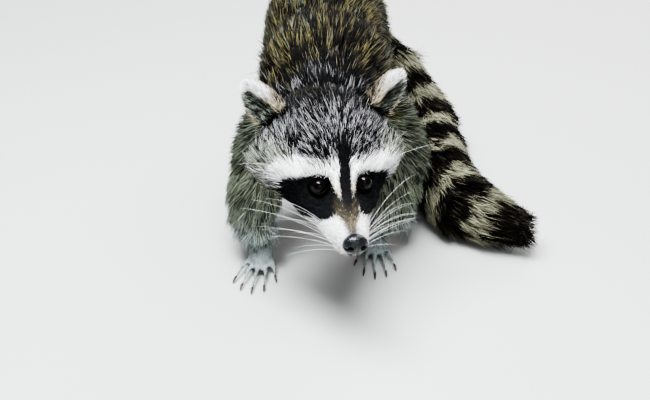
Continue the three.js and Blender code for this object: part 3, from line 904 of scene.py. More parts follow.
def ear_marks(marks, points, normals, on, tint):
    """Pale rims, dark inside, brown at the back, and a black patch behind each ear."""
    for side, s in SIDES.items():
        ear = EARS[side]
        here = ear.inside(points)
        front = smooth(-0.15, 0.25, normals @ ear.way((0, -1, 0)))
        near = smooth(60, 45, np.linalg.norm(here - (0, 0, EAR_HEIGHT / 2), axis=1)) * on["ear"]
        medial = -s * here[:, 0] / EAR_HALF_WIDTH
        high = here[:, 2] / EAR_HEIGHT
        fade = smooth(0.25, 0.7, high)[:, None]
        rim = tint.cream + fade * (tint.white - tint.cream)
        marks.lay(near, rim, tint.bridge * 0.5, 0.12, 0.45)
        back = (1 - front) * smooth(1.05, 0.6, high)
        marks.lay(near * back, tint.cream * 0.55, tint.bridge * 0.2, 0.50, 0.4)
        marks.lay(near * (1 - front) * smooth(0.6, 0.2, high), tint.bridge * 0.5, tint.black, 0.75, 0.5)
        edge = 0.8 * smooth(0.84, 0.98, medial) * smooth(0.95, 0.6, high)
        marks.lay(near * edge, tint.bridge * 0.8, tint.black * 2, 0.5, 0.3)
        inner = 0.62 - 0.5 * smooth(0.1, 0.8, high)
        hollow = front * smooth(inner, inner - 0.26, medial) * smooth(-0.97, -0.85, medial)
        hollow *= smooth(0.92, 0.76, high)
        dark = 0.62 - 0.15 * smooth(-0.3, -0.8, medial)
        marks.lay(near * hollow, tint.ruff * 0.8, tint.black, dark, 0.3)
        base = np.linalg.norm((here - (4 * s, 4, -6)) / (1, 1, 0.8), axis=1)
        behind = smooth(26, 15, base) * smooth(-8, 4, here[:, 1] + 0.4 * s * here[:, 0])
        marks.lay(0.9 * behind * (1 - on["ear"]), tint.black * 3, tint.black, 0.75, 0.6)


# ---- skin --------------------------------------------------------------------------------------------

FLESH = [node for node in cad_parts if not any(word in node for word in BARE)]
SHRINK_STEPS = 8
FINE_BEFORE = 34  # the head's skin has finer faces ahead of this, in its own frame


def solids(nodes):
    """The points and triangles of several sub-parts together, and which sub-part each triangle is of."""
    meshes = [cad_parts[node].data for node in nodes]
    shapes = [(points_of(mesh), triangles_of(mesh)) for mesh in meshes]
    owner = np.repeat(np.arange(len(nodes)), [len(faces) for _, faces in shapes])
    return *joined(shapes), owner


def drop(obj):
    """Removes an object that was only needed for a while."""
    mesh = obj.data
    bpy.data.objects.remove(obj)
    bpy.data.meshes.remove(mesh)


def worked_out(rough):
    """The points and triangles of an object with its modifiers applied. The object itself is removed."""
    found = rough.evaluated_get(bpy.context.evaluated_depsgraph_get()).to_mesh()
    points, triangles = points_of(found), triangles_of(found)
    drop(rough)
    return points, triangles


def even_surface(points, triangles, width):
    """One closed surface of even faces round everything given."""
    rough = put("rough", points, triangles)
    modifier = rough.modifiers.new("Even", "REMESH")
    modifier.mode = "VOXEL"
    modifier.voxel_size = width * MM
    return Surface(*worked_out(rough)).largest()


def finer(surface, where):
    """The surface with each triangle whose points are all in a place cut in four."""
    corners = surface.triangles
    unique, place = np.unique(edges_of(corners), axis=0, return_inverse=True)
    place = place.reshape(3, -1).T
    cut = np.zeros(len(unique), bool)
    cut[place[where[corners].all(1)].ravel()] = True
    number = np.where(cut, len(surface.points) + np.cumsum(cut) - 1, -1)[place]
    cuts = (number >= 0).sum(1)
    full = np.concatenate([corners, number], 1)
    made = [corners[cuts == 0]]
    made += [full[cuts == 3][:, order] for order in ((0, 3, 5), (3, 1, 4), (5, 4, 2), (3, 4, 5))]
    for turn in range(3):
        spun = np.concatenate([np.roll(corners, -turn, 1), np.roll(number, -turn, 1)], 1)
        one = (cuts == 1) & (spun[:, 3] >= 0)
        two = (cuts == 2) & (spun[:, 3] >= 0) & (spun[:, 4] >= 0)
        made += [spun[one][:, order] for order in ((0, 3, 2), (3, 1, 2))]
        made += [spun[two][:, order] for order in ((3, 1, 4), (0, 3, 4), (0, 4, 2))]
    points = np.concatenate([surface.points, surface.points[unique[cut]].mean(1)])
    return Surface(points, np.concatenate(made))


def coat_values(surface, weights, on_head):
    """The row of COATS that holds at each point, with those of the head and of the legs' ends."""
    values = weights @ np.array(list(COATS.values()), float)
    values[:, :4] += on_head[:, None] * (head_coats(surface.points) - values[:, :4])
    low = smooth(*LEG_END_HEIGHTS[::-1], surface.points[:, 2]) * part_of(weights, "foreleg lower", "shank")
    values[:, :4] += low[:, None] * (np.array(LEG_END) - values[:, :4])
    return surface.eased(values, 4)


def shrink(surface, values):
    """Smooths the solids' corners away and draws the surface in by the coat's depth."""
    for turn in range(int(values[:, 4].max())):
        share = np.clip(values[:, 4:5] - turn, 0, 1) * 0.5
        surface.points = surface.eased(surface.points, 1, share)
    easing = smooth(1.0, 6.0, values[:, 0])[:, None] * 0.5
    for _ in range(SHRINK_STEPS):
        surface.points = surface.points - surface.normals() * values[:, :1] / SHRINK_STEPS
        surface.points = surface.eased(surface.points, 1, easing)


def lie_of_coat(surface, weights, on_head):
    """Which way hairs point at each point: from the nose back, down the legs and to the tail's tip.

    Also gives how far each point is from that tip."""
    start = np.linalg.norm(NOSE.inside(surface.points) / NOSE_HALF, axis=1) < 1.3
    far = surface.eased(surface.distance_from(start), 6)
    lie = surface.climb(far)
    on_tail = part_of(weights, "tail")
    tip = surface.points[np.where(on_tail > 0.5, far, 0).argmax()]
    at_tip = np.linalg.norm(surface.points - tip, axis=1) < 4
    tail_along = surface.eased(surface.distance_from(at_tip), 4)
    lie = unit(lie - on_tail[:, None] * (lie + surface.climb(tail_along)))
    steep = smooth(0.9, 0.3, np.abs(surface.normals()[:, 2]))
    lie[:, 2] -= 0.35 * (1 - on_head) * (1 - on_tail) * steep
    rise = np.zeros_like(lie)
    for ear in EARS.values():
        here = ear.inside(surface.points)
        near = smooth(60, 40, np.linalg.norm(here, axis=1))[:, None]
        rise += part_of(weights, "ear")[:, None] * (
            near * (ear.way((0, 0, 1)) + ear.way((1, 0, 0)) * here[:, :1] / 30)
        )
    return unit(surface.eased(lie + 2 * rise, 8)), tail_along


def make_hide(width):
    """Shrinks the solids of flesh by the coat's depth, and works out how the coat lies on them."""
    nodes = sorted(FLESH)
    points, triangles, owner = solids(nodes)
    surface = even_surface(points, triangles, width)
    tree = BVHTree.FromPolygons([Vector(p) for p in points], triangles.tolist())
    face = np.array([tree.find_nearest(Vector(p))[2] for p in surface.points])
    group = np.array([group_of(node) for node in nodes])[owner[face]]
    weights = surface.eased(np.eye(len(GROUPS))[group], 6)
    on_head = surface.eased((group == GROUPS.index("head")).astype(float), 3)
    values = coat_values(surface, weights, on_head)
    shrink(surface, values)
    lie, tail_along = lie_of_coat(surface, weights, on_head)

    near = (on_head > 0.3) & (HEAD.inside(surface.points)[:, 1] < FINE_BEFORE)
    small = part_of(weights, "ear", "forefoot", "hindfoot", "lower_jaw") > 0.3
    fine = finer(surface, near | small)
    close = nearest(fine.points, surface.points)
    return SimpleNamespace(
        surface=fine,
        group=group[close],
        weights=fine.eased(weights[close], 2),
        values=fine.eased(values[close], 2),
        lie=unit(fine.eased(lie[close], 2)),
        tail_along=fine.eased(tail_along[close], 2),
    )


GROOVE_DEPTH = 2.2  # of the mouth's line
LIPS_RISE = 0.7  # beside that line
SOCKET_DEPTH = 1.2  # how far the skin behind an eye lies inside it
SOCKET_RIM = 0.8  # and how far outside it round the lids
PAD_FRONT = -0.35  # ahead of this the skin is hidden by the nose's leather, as a share of its depth
HIDDEN, BESIDE, NEAR_PAD = 0.9, 1.03, 1.22  # the skin there, and beside it, and how near is drawn to it
SKIN_LOW, COAT_LOW = 0.15, 0.2  # how far over the floor the skin of the soles and the coat begin


def sculpt(hide):
    """Sets the skin round the eyes and the nose, and draws the line of the mouth."""
    surface = hide.surface
    fine = part_of(hide.weights, "head", "lower_jaw") > 0.4
    surface.points = surface.eased(surface.points, 3, 0.5 * fine[:, None])
    normals = surface.normals()
    far = mouth_distance(HEAD.inside(surface.points))
    groove = smooth(3.2, 0.4, far) * fine
    lips = smooth(6.5, 3.5, far) * smooth(1.5, 3.5, far) * fine
    surface.points = surface.points + normals * (LIPS_RISE * lips - GROOVE_DEPTH * groove)[:, None]
    for side in SIDES:
        away, far, angle = from_eye(side, surface.points)
        behind = (far < EYE_RADIUS + 5) & (angle < LID_ANGLE + 3)
        surface.points[behind] = EYES[side] + unit(away[behind]) * (EYE_RADIUS - SOCKET_DEPTH)
        rim = ~behind & (far < EYE_RADIUS + SOCKET_RIM)
        surface.points[rim] = EYES[side] + unit(away[rim]) * (EYE_RADIUS + SOCKET_RIM)
    pad = NOSE.inside(surface.points) / NOSE_HALF
    reach = np.linalg.norm(pad, axis=1)
    fit = np.where(pad[:, 1] < PAD_FRONT, HIDDEN, BESIDE)
    touching = (reach < fit) | ((reach < NEAR_PAD) & (pad[:, 1] >= PAD_FRONT))
    surface.points[touching] = NOSE.outside((pad / reach[:, None] * fit[:, None] * NOSE_HALF)[touching])
    surface.points[:, 2] = np.maximum(surface.points[:, 2], SKIN_LOW)


def hairy_places(hide):
    """1 where hair grows and 0 where the skin is bare: at the eyes, the nose, the soles and the mouth."""
    points = hide.surface.points
    grows = np.ones(len(points))
    for side in SIDES:
        _, far, angle = from_eye(side, points)
        grows *= 1 - (far < EYE_RADIUS + 4) * smooth(LID_ANGLE + 8, LID_ANGLE + 3, angle)
    grows *= smooth(1.05, 1.15, np.linalg.norm(NOSE.inside(points) / NOSE_HALF, axis=1))
    grows *= 1 - smooth(-0.6, -0.8, hide.normals[:, 2]) * smooth(6, 3, points[:, 2])
    grows *= smooth(0.8, 1.8, mouth_distance(HEAD.inside(points)))
    return grows


# ---- coat --------------------------------------------------------------------------------------------

PATCH = 0.003  # the width of each tuft's place on the map of its colours
SHORT = 6.5  # hairs shorter than this don't bend
LONG = 16.0  # and those longer than this bend fully
BEND = math.radians(14)
BEND_AT = 0.45  # where along a hair it bends
ROOT_DEPTH = 0.4
LENGTH_SPREAD = 0.14
SLOPE_SPREAD = 0.09
LOCK, HEAD_LOCK = 8, 3  # tufts in a lock: on the body, and on the head and ears
ALIKE, HEAD_ALIKE = 0.7, 0.6  # the share of tufts that take the colour of their lock, on the same two
SHADES, HEAD_SHADES, FOOT_SHADES = 0.12, 0.17, 0.24  # how much tufts and locks differ in brightness
AGOUTI = 0.25  # the share of long pale hairs that end dark
EAR_TIP_CUT = 0.45  # how much shorter the ears' hairs are at the tip
EAR_LIFT = 0.22  # how much further the ears' hairs stand off, in radians


def sample(hide, triangles, rng, thickness):
    """Where tufts grow on the given triangles: which triangle, and the shares of its corners."""
    corners = hide.surface.triangles[triangles]
    a, b, c = (hide.surface.points[corners[:, i]] for i in range(3))
    area = np.linalg.norm(np.cross(b - a, c - a), axis=1) / 2
    wanted = area / 100 * hide.values[:, 3][corners].mean(1) * hide.grows[corners].mean(1) * thickness
    total = np.cumsum(wanted)
    count = int(total[-1])
    picks = np.searchsorted(total, (np.arange(count) + rng.random(count)) * total[-1] / count)
    u, v = rng.random((2, count))
    over = u + v > 1
    u[over], v[over] = 1 - u[over], 1 - v[over]
    return triangles[np.minimum(picks, len(triangles) - 1)], np.stack([1 - u - v, u, v], 1)


def blended(values, corners, shares):
    """Values at places inside triangles."""
    picked = values[corners]
    return (picked * shares.reshape(shares.shape + (1,) * (picked.ndim - 2))).sum(1)


def unwrapped(hide, triangles):
    """The map of a stretch of skin laid flat: three flat points for each of its triangles."""
    corners = hide.surface.triangles[triangles]
    used, place = np.unique(corners, return_inverse=True)
    flat = put("flat", hide.surface.points[used], place.reshape(-1, 3))
    bpy.context.view_layer.objects.active = flat
    flat.select_set(True)
    bpy.ops.object.mode_set(mode="EDIT")
    bpy.ops.mesh.select_all(action="SELECT")
    bpy.ops.uv.smart_project(angle_limit=math.radians(66), island_margin=0.003)
    bpy.ops.object.mode_set(mode="OBJECT")
    found = np.empty(len(flat.data.loops) * 2)
    flat.data.uv_layers.active.data.foreach_get("uv", found)
    drop(flat)
    return found.reshape(-1, 3, 2)


def flattened(ways, out):
    """Directions laid flat on the skin."""
    return unit(ways - out * (ways * out).sum(1, keepdims=True))


def comb(hide, hairs, rng, mess):
    """Which way each tuft goes from its root, past its bend to its tip."""
    out = hairs.out
    lie = flattened(blended(hide.lie, hairs.corners, hairs.shares), out)
    aside = np.cross(out, lie)
    eye_far, eye_away = near_eyes(hairs.root)
    close = smooth(EYE_FUR + 6, EYE_FUR - 3, eye_far)
    eye_away = flattened(eye_away, out)
    lie = unit(lie * (1 - close[:, None]) + eye_away * 1.3 * close[:, None])
    length = hairs.length * (1 - 0.45 * close)
    on_ear = part_of(hairs.on, "ear")
    high = np.max([ear.inside(hairs.root)[:, 2] for ear in EARS.values()], axis=0) / EAR_HEIGHT
    length = length * (1 - EAR_TIP_CUT * on_ear * smooth(0.5, 0.95, high))

    count = len(length)
    lie = unit(lie + aside * rng.normal(0, mess, count)[:, None])
    length = length * np.clip(rng.normal(1, LENGTH_SPREAD, count), 0.6, 1.35)
    slope = np.arcsin(np.clip(0.92 * hairs.depth / length, 0.10, 0.75)) * (1 - 0.5 * close)
    slope = np.clip(slope + rng.normal(0, SLOPE_SPREAD, count), 0.06, 1.2) + EAR_LIFT * on_ear
    bend = BEND * smooth(SHORT, LONG, length)
    first, second = (
        lie * np.cos(angle)[:, None] + out * np.sin(angle)[:, None] for angle in (slope + bend, slope - bend)
    )
    hairs.length = length
    hairs.root = hairs.root - out * ROOT_DEPTH
    hairs.knee = hairs.root + first * (BEND_AT * length)[:, None]
    hairs.tip = hairs.knee + second * ((1 - BEND_AT) * length)[:, None]


def dye(hide, hairs, rng, lock, locks, on_head, colours):
    """The colours of each tuft at its root, its bend and its tip."""
    count = len(hairs.root)
    blur = (0.04 * hairs.length + 0.2)[:, None]
    taken = hairs.knee * 0.5 + hairs.tip * 0.5 + rng.normal(0, 1, (count, 3)) * blur
    alike = rng.random(count) < np.where(on_head, HEAD_ALIKE, ALIKE)
    toss = np.where(alike, rng.random(locks)[lock], rng.random(count))
    tail_along = blended(hide.tail_along, hairs.corners, hairs.shares)
    marks = marks_at(taken, hairs.out, hairs.on, tail_along, colours, toss)
    dark = np.where(alike, rng.random(locks)[lock], rng.random(count)) < marks.share
    body = np.where(dark[:, None], marks.dark, marks.pale)
    on_foot = part_of(hairs.on, "forefoot", "hindfoot") > 0.5
    spread = np.where(on_head & ~dark, HEAD_SHADES, np.where(on_foot, FOOT_SHADES, SHADES))
    shade = (1 + spread * rng.normal(0, 1, locks)[lock]) * (1 + spread * rng.normal(0, 1, count))
    body = body * np.clip(shade, 0.4, 1.3)[:, None]
    agouti = (rng.random(count) < AGOUTI) & ~dark & (hairs.length > 15)
    end = np.where(agouti[:, None], marks.dark, body * 1.1)
    # Darker towards the root: partly the hairs' own dark bases and partly painted shade deep in the coat.
    return body * marks.root[:, None], body * np.sqrt(marks.root)[:, None], end


def grow_coat(name, where, slot, seed):
    """One piece of the coat, on the skin's triangles where it is asked for."""
    scene = bpy.context.scene
    sizes = scene.raccoon_coat
    hide = grown["hide"]
    rng = np.random.default_rng(sizes.seed * 100 + seed)
    thickness = sizes.thickness
    triangles = np.flatnonzero(where)
    picked, shares = sample(hide, triangles, rng, thickness)
    corners = hide.surface.triangles[picked]
    depth, length, width = blended(hide.values[:, :3], corners, shares).T
    hairs = SimpleNamespace(
        corners=corners, shares=shares, depth=depth, length=length, width=width,
        root=blended(hide.surface.points, corners, shares),
        out=unit(blended(hide.normals, corners, shares)),
        on=blended(hide.weights, corners, shares),
    )
    comb(hide, hairs, rng, sizes.mess)
    on_head = part_of(hairs.on, "head", "ear") > 0.5
    locks = max(8, len(depth) // (HEAD_LOCK if on_head.mean() > 0.5 else LOCK))
    heads = rng.choice(len(depth), locks, replace=False)
    lock = nearest(hairs.root, hairs.root[heads])
    hairs.tip = draw_locks(hairs, hairs.tip[heads][lock], sizes.locks)
    hairs.tints = dye(hide, hairs, rng, lock, locks, on_head, scene.raccoon_colours)
    flat = unwrapped(hide, triangles)
    hairs.spot = (flat[np.searchsorted(triangles, picked)] * shares[:, :, None]).sum(1)
    tie(tuft_mesh(name, hairs), slot)


def draw_locks(hairs, centre, pull):
    """Draws tips towards the middles of their locks, and no further from their roots than their length."""
    gap = np.linalg.norm(centre - hairs.tip, axis=1)
    pull = pull * smooth(0.9, 0.3, gap / hairs.length)
    drawn = hairs.tip + (centre - hairs.tip) * pull[:, None]
    reach = np.maximum(np.linalg.norm(drawn - hairs.root, axis=1), 1e-6)
    return hairs.root + (drawn - hairs.root) * (np.minimum(reach, hairs.length) / reach)[:, None]


def tuft_mesh(name, hairs):
    """Closed three-sided tufts: those with short hairs run straight to their tip, and the others bend."""
    low, high = (np.array(corner) / MM for corner in CAD_BOX)
    low[2] = COAT_LOW
    angles = np.radians((90, 210, 330))
    bends = np.linalg.norm(hairs.tip - hairs.root, axis=1) > SHORT
    shapes, colours, maps = [], [], []
    for bent in (True, False):
        pick = np.flatnonzero(bends == bent)
        if not len(pick):
            continue
        along = unit(hairs.tip[pick] - hairs.root[pick])
        side = unit(np.cross(along, hairs.out[pick]))
        ring = around(side[:, None], 0.6 * np.cross(side, along)[:, None], angles)
        half = hairs.width[pick, None, None] / 2
        rows = [hairs.root[pick, None] + ring * half, hairs.tip[pick, None]]
        tints = [np.repeat(hairs.tints[0][pick, None], 3, 1), hairs.tints[2][pick, None]]
        if bent:
            rows.insert(1, hairs.knee[pick, None] + ring * half * 0.8)
            tints.insert(1, np.repeat(hairs.tints[1][pick, None], 3, 1))
        points = np.concatenate(rows, 1)
        faces = [(0, 2, 1)]
        for j, k in ((0, 1), (1, 2), (2, 0)):
            faces += [(j, k, 3 + k), (j, 3 + k, 3 + j), (3 + j, 3 + k, 6)] if bent else [(j, k, 3)]
        start = (np.arange(len(pick)) * points.shape[1])[:, None, None]
        shapes.append((points.reshape(-1, 3), (np.array(faces)[None] + start).reshape(-1, 3)))
        colours.append(np.concatenate(tints, 1).reshape(-1, 3))
        rise = np.array([0.0] * 3 + [0.5] * 3 * bent + [1.0])
        across = np.array([0.0, 0.5, 1.0] * (2 if bent else 1) + [0.5])
        patch = (np.stack([across, rise], 1) - 0.5) * PATCH
        maps.append((hairs.spot[pick, None] + patch[None]).reshape(-1, 2))
    points, faces = joined(shapes)
    obj = put(name, np.clip(points, low, high), faces, coat_material(), coat_colour=np.concatenate(colours))
    layer = obj.data.uv_layers.new(name="OFBake")
    flat = np.clip(np.concatenate(maps)[faces.ravel()], 0.001, 0.999)
    layer.data.foreach_set("uv", flat.astype(np.float32).ravel())
    return obj


def coat_material():
    """The one material of the whole coat."""
    return bpy.data.materials.get("coat") or coat_finish()


# ---- eyes, nose, claws and whiskers ------------------------------------------------------------------


def across(direction, up):
    """Two directions across a given one, the second as near to up as can be."""
    right = unit(np.cross(direction, up))
    return right, np.cross(right, direction)


def around(right, up, turn):
    """Directions at angles round a circle, from right towards up."""
    return np.cos(turn)[..., None] * right + np.sin(turn)[..., None] * up


def globe(rings, sides, start):
    """Angles over a ball from one pole to the other: from its axis, and round it."""
    turn = np.linspace(0, 2 * math.pi, sides, False)
    return np.meshgrid(np.linspace(start, math.pi, rings), turn, indexing="ij")


CLEAR_FRONT = 0.55  # how far the clear front of an eye stands out


def eyeball(side):
    """An eye with a raised clear front, and for each point its angle from the eye's axis and its fibres."""
    rings, sides = 40, 56
    axis = GAZE[side]
    right, up = across(axis, HEAD.axes[2])
    lean, turn = globe(rings, sides, 0.001)
    radius = EYE_RADIUS + CLEAR_FRONT * smooth(48, 20, np.degrees(lean))
    ways = around(axis, around(right, up, turn), lean)
    points = EYES[side] + (ways * radius[..., None]).reshape(-1, 3)
    fibres = 0.5 + 0.25 * np.sin(23 * turn) + 0.25 * np.sin(41 * turn + 2 * np.sin(7 * turn))
    return points, lattice(rings, sides), np.degrees(lean).ravel(), fibres.ravel()


# The section of a lid: degrees beyond its edge, distance from the eye's
# middle, and how moist a lower lid is, which also places its painted sheen.
LID = ((2, 8.4, 0), (0, 9.25, 0.8), (1, 9.5, 0.9), (3, 9.7, 0.1), (8, 9.75, 0), (20, 9.5, 0), (36, 8.6, 0))
LID_OPENING = (1.10, 0.86, 0.80)  # how far the lids open aside, up and down, as shares of LID_ANGLE


def lid_ring(side):
    """The two lids as one rounded rim, between an oval and an almond with a corner at each end."""
    axis = GAZE[side]
    right, up = across(axis, HEAD.axes[2])
    turn = np.linspace(0, 2 * math.pi, 72, False)
    wide, above, below = LID_OPENING
    high = np.where(np.sin(turn) > 0, above, below)
    oval = 1 / np.hypot(np.cos(turn) / wide, np.sin(turn) / high)
    bow = high * (np.cos(turn) / wide) ** 2 + 1e-6
    almond = (np.sqrt(np.sin(turn) ** 2 + 4 * bow * high) - np.abs(np.sin(turn))) / (2 * bow)
    share = (oval + almond) / 2
    flat = around(right, up, turn)
    rows = []
    for degrees, radius, _ in LID:
        rows.append(EYES[side] + around(axis, flat, np.radians(LID_ANGLE * share + degrees)) * radius)
    lower = smooth(0.1, -0.7, np.sin(turn))
    wet = np.concatenate([value * lower for _, _, value in LID])
    return np.concatenate(rows), lattice(len(LID), len(turn)), wet


NOSTRIL, NOSTRIL_HALF = (5.9, 1.6), (2.5, 2.2)  # a nostril's middle and its half-widths, aside and up
SLIT, SLIT_HALF, SLIT_RISE = (9.0, -0.6), (3.2, 1.1), 0.3  # the same of its slit, and how steeply that rises
NOSTRIL_DEPTH, NOSE_GROOVE, WING_HEIGHT = 4.2, 0.9, 0.5


def nose_shape():
    """The nose's leather: broad above, narrow below, with open nostrils and a groove down its middle."""
    rings, sides = 72, 112
    lean, turn = (angles.ravel() for angles in globe(rings, sides, 0.002))
    ways = np.stack([np.sin(lean) * np.cos(turn), -np.cos(lean), np.sin(lean) * np.sin(turn)], 1)
    points = ways * NOSE_HALF
    points[:, 0] *= 1 - 0.22 * smooth(0, -1, ways[:, 2])
    front = smooth(0.1, -0.7, ways[:, 1])
    aside = np.abs(points[:, 0])
    groove = np.exp(-((points[:, 0] / 0.75) ** 2)) * smooth(3.5, -2, points[:, 2]) * front
    x, z = aside - NOSTRIL[0], points[:, 2] - NOSTRIL[1]
    open_near = np.hypot(x / NOSTRIL_HALF[0], z / NOSTRIL_HALF[1])
    x, z = aside - SLIT[0], points[:, 2] - SLIT[1]
    slit = np.hypot(x / SLIT_HALF[0], (z - SLIT_RISE * x) / SLIT_HALF[1])
    pit = np.maximum(smooth(1.25, 0.65, open_near), 0.75 * smooth(1.25, 0.5, slit)) * front
    wing = np.exp(-(((open_near - 1.5) / 0.35) ** 2)) * front * smooth(-0.5, 1.5, points[:, 2])
    points[:, 1] += NOSTRIL_DEPTH * pit + NOSE_GROOVE * groove - WING_HEIGHT * wing
    points[:, 1] += 0.54 * smooth(2, -7, points[:, 1]) * front
    # The last value is where the leather is darkened as painted shade: the nostrils, and half as much down
    # the groove.
    return NOSE.outside(points), lattice(rings, sides), np.maximum(pit, 0.5 * groove)


def rounded(node):
    """A sub-part's own shape with its corners rounded: points, triangles, and how far along it points are."""
    rough = put("claw", points_of(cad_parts[node].data), triangles_of(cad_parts[node].data))
    weld = rough.modifiers.new("Weld", "WELD")
    weld.merge_threshold = 0.01 * MM
    smoothing = rough.modifiers.new("Rounded", "SUBSURF")
    smoothing.levels = smoothing.render_levels = 2
    points, faces = worked_out(rough)
    fore = points[:, 1]
    return points, faces, (fore.max() - fore) / np.ptp(fore)


# Whiskers of one side, in rows along the lip: where the first grows and which way it points, in the head's
# own frame, and its length as a share of the longest; then what the next one adds, and the next row.
WHISKER_ROWS = 4
WHISKERS_IN_ROW = 3
FIRST_WHISKER = np.array((12, -50, -19, 0.86, 0.26, 0.66, 0.72))
NEXT_WHISKER = np.array((3.5, 6.5, 0, -0.08, 0.16, 0, 0.19))
NEXT_ROW = np.array((0, 0, -5, 0, 0, -0.21, -0.08))
FIRST_BROW_WHISKER = np.array((28, 8, 16, 0.55, 0.1, 0.75))  # the same above an eye, where all are as long
NEXT_BROW_WHISKER = np.array((26, 12, -8, 0.35, 0, -0.3))
BROW_WHISKERS = 2
WHISKER_TIP = 0.024  # a whisker's radius at its tip
WHISKER_ROOT = 0.095  # how much more that is at its root


def whisker(surface_tree, start, way, length, droop, rng):
    """One tapered hair that bends back and down, from the lip's surface."""
    steps, sides = 14, 5
    along = np.linspace(0, 1, steps)
    way = unit(way)
    bend = HEAD.way((0, -0.15, -droop)) + rng.normal(0, 0.10, 3)
    hit = surface_tree.find_nearest(Vector(start))[0]
    start = np.array(hit) - way * 0.8
    line = start + way * (along * length)[:, None] + bend * (0.36 * length * along**2)[:, None]
    ahead = unit(np.gradient(line, axis=0))
    side = unit(np.cross(ahead, (0, 0, 1)))
    over = np.cross(side, ahead)
    radius = (WHISKER_ROOT * (1 - along) ** 0.7 + WHISKER_TIP)[:, None, None]
    turn = np.linspace(0, 2 * math.pi, sides, False)
    points = (line[:, None] + around(side[:, None], over[:, None], turn) * radius).reshape(-1, 3)
    return points, lattice(steps, sides), np.repeat(along, sides)


# ---- operators ---------------------------------------------------------------------------------------


def tie(obj, slot, *nodes):
    """Ties a finished piece to the frame's one body and hides the sub-parts that it stands for. Its slot is
    not used.
    """
    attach(obj, "root")
    if nodes:
        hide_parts(*nodes)


FLOOR_REACH = 6000.0
SKY_TINT = (0.92, 0.96, 1.0, 1)
SUN_WIDTH = math.radians(30)
SENSOR_WIDTH = 36
OFF_MIDDLE = 0.0118  # how far right of the view's middle and above it the eyes are, for each metre away
# Each soft light: where it stands from the eyes, and its width and height, in metres, and its tint.
LIGHTS = {
    "key": ((-0.20, -0.24, 1.30), (1.15, 0.5), (0.91, 0.96, 1.0)),
    "fill": ((0.5, -1.6, 0.7), (1.2, 1.2), (1, 1, 1)),
    "rim": ((0.7, 1.3, 0.9), (0.8, 0.8), (1, 1, 1)),
}


class MakeStage(bpy.types.Operator):
    """Makes the floor, the lights, the light all round and the camera"""

    bl_idname = "raccoon.make_stage"
    bl_label = "Stage"

    def execute(self, context):
        stage = context.scene.raccoon_stage
        corners = np.array([(-1, -1, 0), (1, -1, 0), (1, 1, 0), (-1, 1, 0)]) * FLOOR_REACH
        put("floor", corners, [(0, 1, 2, 3)], floor_finish(stage.floor))
        world = bpy.data.worlds.new("sky")
        world.use_nodes = True
        world.node_tree.nodes["Background"].inputs["Color"].default_value = SKY_TINT
        world.node_tree.nodes["Background"].inputs["Strength"].default_value = stage.sky
        context.scene.world = world
        eyes = (EYES["left"] + EYES["right"]) / 2 * MM
        for name, (place, size, tint) in LIGHTS.items():
            self.light(name, eyes + place, eyes, getattr(stage, name), size, tint)
        self.sun(stage.sun)
        context.scene.view_settings.look = "AgX - High Contrast"
        self.camera(context, stage, eyes)
        return {"FINISHED"}

    def sun(self, strength):
        """A soft light from far above, so that the floor doesn't darken away from the animal."""
        lamp = bpy.data.lights.new("sun", "SUN")
        lamp.energy = strength
        lamp.angle = SUN_WIDTH
        bpy.context.scene.collection.objects.link(bpy.data.objects.new("sun", lamp))

    def light(self, name, place, target, power, size, tint):
        """An oblong soft light that faces a point."""
        lamp = bpy.data.lights.new(name, "AREA")
        lamp.shape = "RECTANGLE"
        lamp.energy = power
        lamp.size, lamp.size_y = size
        lamp.color = tint
        obj = bpy.data.objects.new(name, lamp)
        obj.location = place
        obj.rotation_euler = (Vector(target) - Vector(place)).to_track_quat("-Z", "Y").to_euler()
        bpy.context.scene.collection.objects.link(obj)

    def camera(self, context, stage, eyes):
        """Looks down at the face, which lies a little to the right of the middle and above it."""
        back = Vector((0, -math.cos(stage.height), math.sin(stage.height)))
        up = Vector((0, math.sin(stage.height), math.cos(stage.height)))
        camera = bpy.data.objects.new("camera", bpy.data.cameras.new("camera"))
        camera.data.lens = stage.lens
        camera.data.sensor_width = SENSOR_WIDTH
        camera.location = Vector(eyes) + stage.distance * (back - OFF_MIDDLE * (Vector((1, 0, 0)) + up))
        camera.rotation_euler = back.to_track_quat("Z", "Y").to_euler()
        context.scene.collection.objects.link(camera)
        context.scene.camera = camera


class MakeSkin(bpy.types.Operator):
    """Makes the one skin that stands for every sub-part of flesh"""

    bl_idname = "raccoon.make_skin"
    bl_label = "Skin"

    def execute(self, context):
        hide = make_hide(context.scene.raccoon_coat.skin_mesh / MM)
        sculpt(hide)
        hide.normals = hide.surface.normals()
        hide.grows = hairy_places(hide)
        grown["hide"] = hide
        tips = hide.surface.points + hide.normals * hide.values[:, :1]
        colours = context.scene.raccoon_colours
        marks = marks_at(tips, hide.normals, hide.weights, hide.tail_along, colours)
        # The skin is darker than the coat's mean colour, most under long hair: painted shade beneath the
        # coat.
        short = smooth(9, 3, hide.values[:, 1])
        tint = marks.mean() * (0.85 * short + 0.5 * (1 - short) * marks.root)[:, None]
        skin = put("skin", hide.surface.points, hide.surface.triangles, skin_finish(), coat_colour=tint)
        tie(skin, "body_fur", *FLESH)
        return {"FINISHED"}


class MakeEyes(bpy.types.Operator):
    """Makes both eyes and the rims of their lids"""

    bl_idname = "raccoon.make_eyes"
    bl_label = "Eyes"

    def execute(self, context):
        looks = context.scene.raccoon_face
        wet_eye, bare_lid = eye_finish(looks), lid_finish(looks)
        for side in SIDES:
            points, faces, off_axis, fibres = eyeball(side)
            ball = put(f"eyeball_{side}", points, faces, wet_eye, off_axis=off_axis, fibres=fibres)
            tie(ball, "eye", f"eye_{side}")
            points, faces, wet = lid_ring(side)
            tie(put(f"eyelids_{side}", points, faces, bare_lid, wet=wet), "nose_leather")
        return {"FINISHED"}


